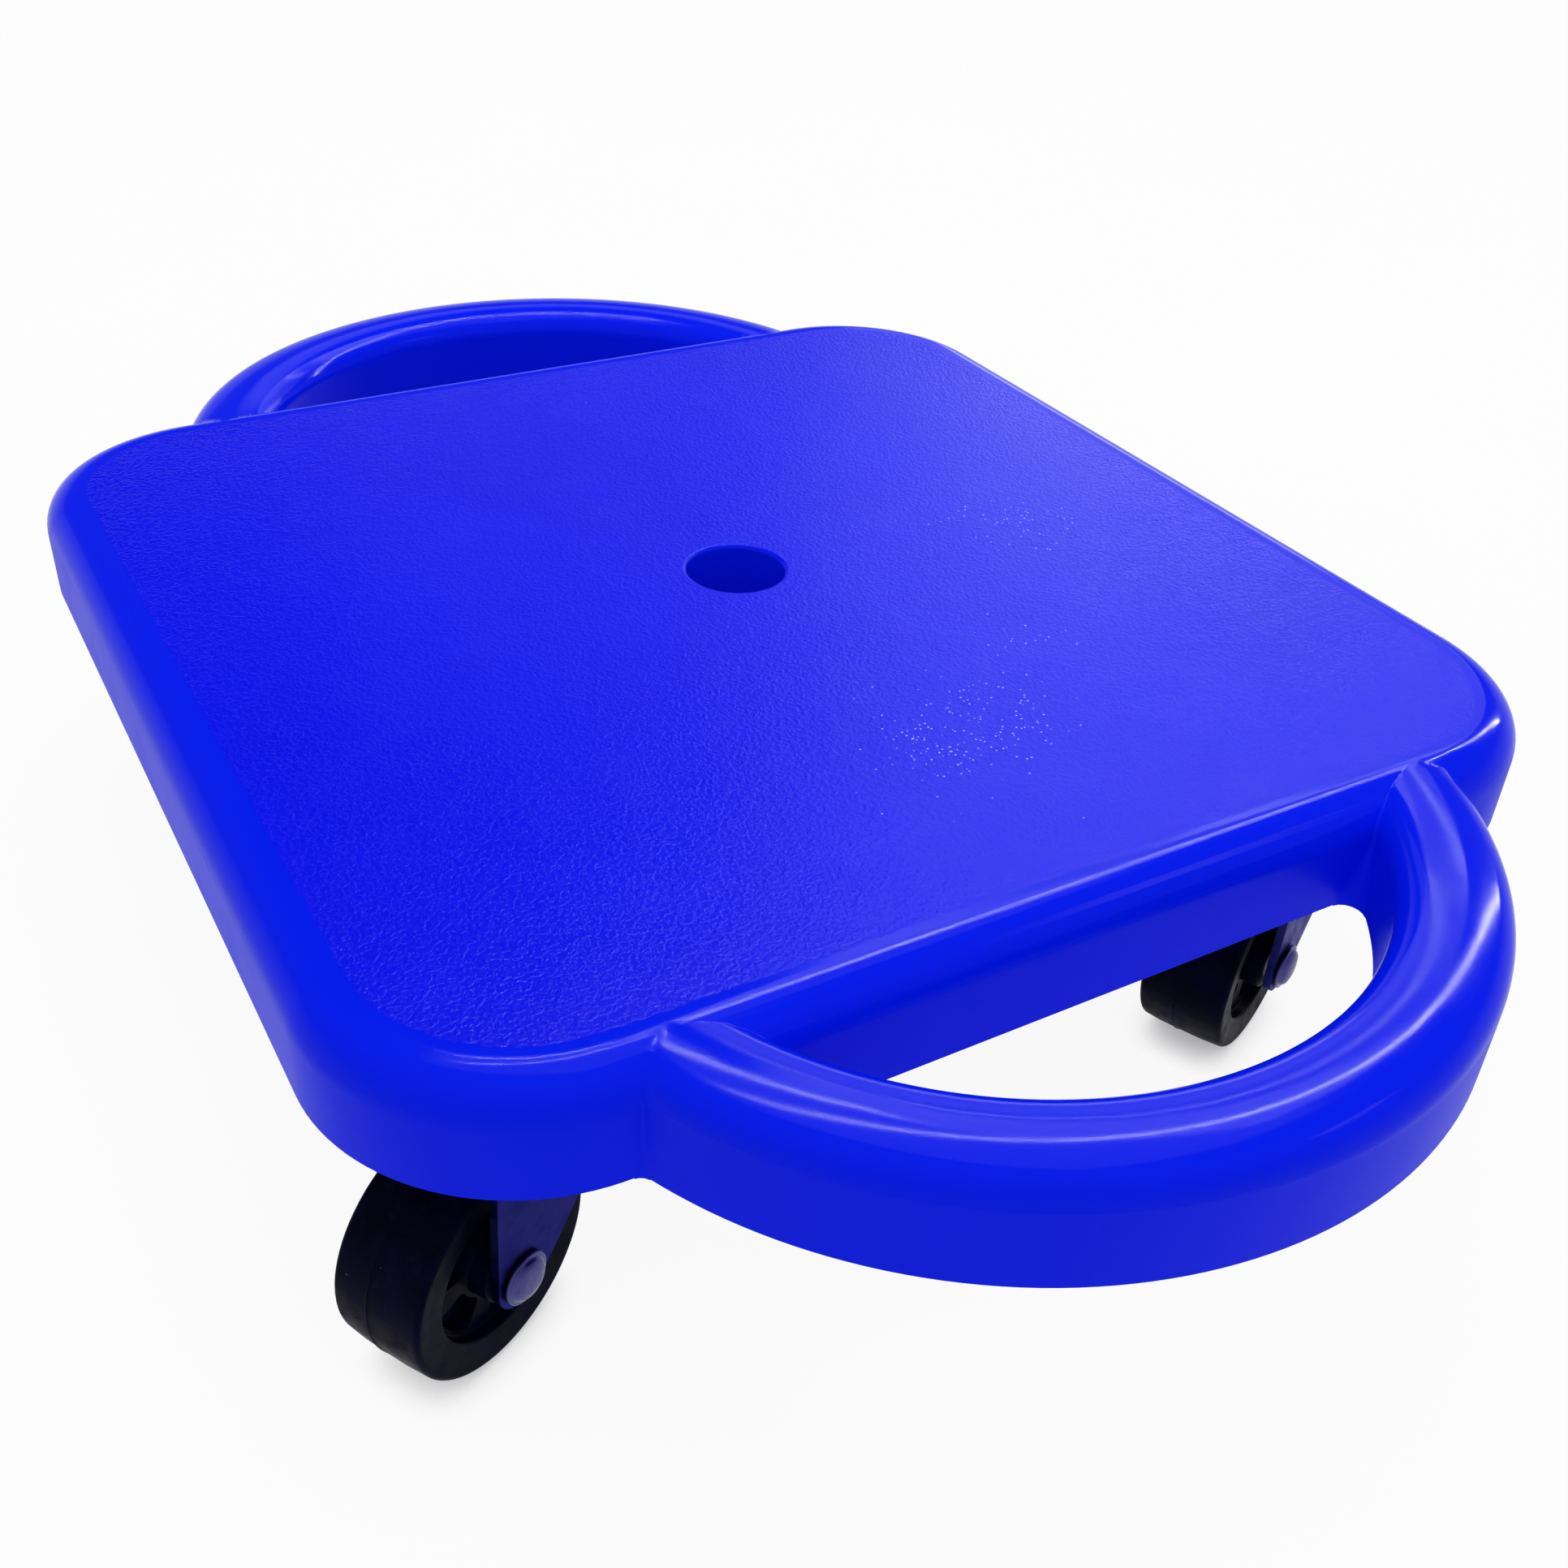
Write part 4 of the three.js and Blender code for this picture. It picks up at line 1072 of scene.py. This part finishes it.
def dress():
    put(moulded_deck(), "moulded_deck", "board", "deck_plastic", "deck")
    at_plate = {corner: shift(pin.x, pin.y, DECK_BOTTOM) for corner, pin in PINS.items()}
    put_four(caster_plate(), "top_plate", "board", "zinc_plate", at_plate)
    put_four(kingpin_rivet(), "kingpin", "board", "zinc_plate", at_plate)
    put_four(race_cup(), "lower_cup", "board", "zinc_plate", at_plate)
    screw = plate_screw()
    for corner, pin in PINS.items():
        for k, (x, y) in enumerate(SCREW_PLACES):
            turn = Matrix.Rotation(radians(37) * (k + 1) + pin.x + 3 * pin.y, 4, "Z")
            node = f"screw_{corner}_{k + 1}"
            put(copied(screw, shift(pin.x + x, pin.y + y, DECK_BOTTOM) @ turn), f"plate_{node}", "board",
                "screw_steel", node)
    discard(screw)

    at_pin, at_axle = {}, {}
    for corner, joint in joints_by_corner("roll_").items():
        axis = Vector(joint["axis"])
        turn = Matrix.Rotation(atan2(axis.y, axis.x), 4, "Z")
        at_pin[corner] = at_plate[corner] @ turn
        at_axle[corner] = shift(*joint["pos_m"]) @ turn
    upper_height = -PLATE_SHEET - RUNNING_GAP - UPPER_BALL
    lower_height = CROWN_UNDER - RUNNING_GAP - LOWER_BALL
    upper = ball_race("upper_bearing_balls", UPPER_BALL, UPPER_CIRCLE, upper_height, UPPER_BALLS)
    lower = ball_race("lower_bearing_balls", LOWER_BALL, LOWER_CIRCLE, lower_height, LOWER_BALLS)
    # The fork wears the darker copy of the zinc, which is painted shade
    put_four(pressed_fork(), "fork", "swivel_{}", "zinc_plate", at_pin, "fork_zinc")
    put_four(upper, "upper_balls", "swivel_{}", "ball_steel", at_pin)
    put_four(lower, "lower_balls", "swivel_{}", "ball_steel", at_pin)
    put_four(riveted_axle(), "axle_rivet", "swivel_{}", "zinc_plate", at_axle)
    put_four(axle_tube(), "axle_bush", "swivel_{}", "bush_steel", at_axle)
    put_four(moulded_wheel(), "wheel", "roller_{}", "wheel_plastic", at_axle)


# Studio

CAMERA_PLACE = Vector((0.3401, -0.1928, 0.2980))
CAMERA_TURN = radians(58.18)
CAMERA_DOWN = radians(34.86)
CAMERA_ROLL = radians(3.22)
IMAGE_WIDTH = 1932
FOCAL_PIXELS = 2097.7
SENSOR = 36.0

FLOOR_RADIUS = 2.2
SWEEP_RADIUS = 0.6
BACKDROP_HEIGHT = 0.85
SCREEN_HEIGHT = 2.1
SEEN_LEVEL = 0.93
# The screen gives no plain white of its own, so it glows a little more than the backdrop that it stands on
SCREEN_LEVEL = 0.965
SCREEN_GLOSS = 0.15
# Painted contact shadow: the floor's glow darkens toward this grey near the wheels
CONTACT_SHADE = (0.36, 0.36, 0.38, 1)
CONTACT_REACH = 10 * MM


def camera():
    level = cos(CAMERA_DOWN)
    back = Vector((sin(CAMERA_TURN) * level, -cos(CAMERA_TURN) * level, sin(CAMERA_DOWN)))
    right = (-back).cross(Vector((0, 0, 1))).normalized()
    up = right.cross(-back)
    across = right * cos(CAMERA_ROLL) + up * sin(CAMERA_ROLL)
    above = up * cos(CAMERA_ROLL) - right * sin(CAMERA_ROLL)
    data = bpy.data.cameras.new("camera")
    data.sensor_width = SENSOR
    data.lens = FOCAL_PIXELS * SENSOR / IMAGE_WIDTH
    data.clip_start = 0.01
    obj = linked("camera", data)
    turn = Matrix((across, above, back)).transposed().to_4x4()
    obj.matrix_world = shift(*CAMERA_PLACE) @ turn
    bpy.context.scene.camera = obj


def seen_share(s, in_gloss):
    """1 for rays from the camera or through glass, and the given share for those that are seen in gloss."""
    path = s.node("LightPath").outputs
    seen = s.math("MAXIMUM", path["Is Camera Ray"], path["Is Transmission Ray"])
    return s.math("MAXIMUM", seen, s.times(path["Is Glossy Ray"], in_gloss))


def seen_tone(s):
    """White at the floor and greyer higher up, and sooner so in gloss, as the room behind is dim."""
    height = s.height()
    clear = s.ramp(height, 0.1, SCREEN_HEIGHT, 1.0, 0.8)
    in_gloss = s.ramp(height, 0.1, BACKDROP_HEIGHT, 1.0, 0.6)
    glossy = s.node("LightPath").outputs["Is Glossy Ray"]
    tone = s.plus(clear, s.times(glossy, s.math("SUBTRACT", in_gloss, clear)))
    return s.grey(tone)


def screen_material():
    """Pale to the camera and through glass, faint in gloss, and clear to other rays: it gives no light."""
    s = Surface("screen_white", staged=True)
    clear = s.node("BsdfTransparent").outputs[0]
    glow = seen_tone(s)
    bright = s.node("Emission", {"Color": glow, "Strength": SCREEN_LEVEL}).outputs[0]
    return s.shown(s.node("MixShader", {0: seen_share(s, SCREEN_GLOSS), 1: clear, 2: bright}))


def floor_material():
    """A white floor that keeps soft shadows, with a painted contact shadow in its glow, darkest where the
    wheels touch it.
    """
    s = Surface("floor_white", staged=True)
    paper = s.grey(s.ramp(s.noise(0.15, 3.0), 0.2, 0.8, 0.90, 0.94))
    plain = s.node("BsdfDiffuse", {"Color": paper}).outputs[0]
    # Painted shadow: ambient occlusion darkens the glow where the wheels touch
    near = s.node("AmbientOcclusion", {"Distance": CONTACT_REACH}, samples=8).outputs["AO"]
    glow = s.mix(s.ramp(near, 0.0, 0.9), CONTACT_SHADE, seen_tone(s))
    bright = s.node("Emission", {"Color": glow, "Strength": 1.0}).outputs[0]
    share = s.times(seen_share(s, 1.0), SEEN_LEVEL)
    return s.shown(s.node("MixShader", {0: share, 1: plain, 2: bright}))


def staged_ring(name, profile, material):
    """An open profile of (radius, height) points turned about Z, for the stage."""
    count = len(profile)
    faces = [corners if profile[corners[0] % count][0] > 0 else corners[:3]
             for corners in strips(FINE_LATHE_STEPS, count, closed=False)]
    obj = mesh_object(name, turned(profile, FINE_LATHE_STEPS), faces, closed=False)
    obj.data.polygons.foreach_set("use_smooth", [True] * len(obj.data.polygons))
    obj.data.materials.append(material)


def studio_stage():
    """A round floor whose rim sweeps up into a low backdrop, and a screen over it that low views end on."""
    wall = FLOOR_RADIUS + SWEEP_RADIUS
    profile = [(0.0, 0.0), (0.7, 0.0), (FLOOR_RADIUS, 0.0)]
    profile += arc(FLOOR_RADIUS, SWEEP_RADIUS, SWEEP_RADIUS, -pi / 2, 0, 12)[1:]
    staged_ring("studio_floor", profile + [(wall, BACKDROP_HEIGHT)], floor_material())
    staged_ring("studio_screen", [(wall, BACKDROP_HEIGHT), (wall, SCREEN_HEIGHT)], screen_material())


def toward(azimuth, elevation, distance):
    """The point at a distance, by the angle from +X toward +Y and the angle over the floor."""
    turn, rise = radians(azimuth), radians(elevation)
    flat = distance * cos(rise)
    return Vector((flat * cos(turn), flat * sin(turn), distance * sin(rise)))


def lamp(name, place, aim, size, radiance, along=None, shine_only=False):
    """A soft box of a given width and height, turned to face a point. along is the way that its width runs,
    which is level if it isn't given. With shine_only, it shows in gloss and gives no other light."""
    data = bpy.data.lights.new(name, "AREA")
    data.shape = "RECTANGLE"
    data.size, data.size_y = size
    data.energy = radiance * pi * size[0] * size[1]
    back = (Vector(place) - Vector(aim)).normalized()
    across = along - back * back.dot(along) if along else Vector((0, 0, 1)).cross(back)
    across.normalize()
    obj = linked(name, data)
    turn = Matrix((across, back.cross(across), back)).transposed().to_4x4()
    obj.matrix_world = shift(*place) @ turn
    obj.visible_camera = False
    obj.visible_diffuse = not shine_only


def tube(name, start, end, width, radiance):
    """A long narrow lamp between two points, which shows in gloss."""
    start, end = Vector(start), Vector(end)
    lamp(name, (start + end) / 2, (0.05, 0, 0.09), ((end - start).length, width), radiance, end - start, True)


def studio_world():
    """Dim grey all round, a little brighter on the near side than on the far one."""
    world = bpy.data.worlds.new("studio")
    world.use_nodes = True
    s = Nodes(world.node_tree)
    way = s.node("TexCoord").outputs["Generated"]
    facing = s.vector("DOT_PRODUCT", way, toward(-30, 15, 1))
    limits = {"Value": facing, "From Min": -0.6, "From Max": 0.7, "To Min": 0.09, "To Max": 0.80}
    background = s.tree.nodes["Background"]
    s.feed(background.inputs["Color"], (0.92, 0.95, 1.0, 1))
    s.feed(background.inputs["Strength"], s.node("MapRange", limits).outputs[0])
    bpy.context.scene.world = world


FAR_DISTANCE = 1.6
# Azimuth and elevation in degrees, width, height and radiance of each box on the far side
FAR_BOXES = (
    (130.0, 32.0, 0.88, 0.70, 1.9),
    (124.0, 52.5, 0.82, 0.48, 8.0),
    (130.5, 15.0, 0.51, 0.24, 4.4),
    (150.0, 32.0, 0.93, 0.24, 1.3),
)
TUBES = (
    ("tube_a", (-0.38, -0.50, 1.40), (-0.434, 2.30, 1.40), 0.045, 90),
    ("tube_b", (-0.72, 0.00, 1.40), (-0.72, 0.60, 1.40), 0.040, 90),
    ("tube_c", (-0.85, 1.85, 1.40), (-1.50, 1.05, 1.40), 0.060, 16),
)


def studio():
    camera()
    studio_stage()
    studio_world()
    for k, (azimuth, elevation, wide, high, radiance) in enumerate(FAR_BOXES):
        place = toward(azimuth, elevation, FAR_DISTANCE)
        lamp(f"far_box_{k + 1}", place, (0, 0, 0), (wide, high), radiance, shine_only=True)
    for setting in TUBES:
        tube(*setting)
    lamp("near_strip", toward(46, 38, 1.6), (0.1, 0, 0.09), (0.40, 0.12), 4, shine_only=True)
    lamp("overhead", (-0.25, 0.30, 1.9), (0, 0, 0.05), (1.5, 1.5), 2.5)
    bpy.context.scene.view_settings.view_transform = "Standard"


dress()
studio()
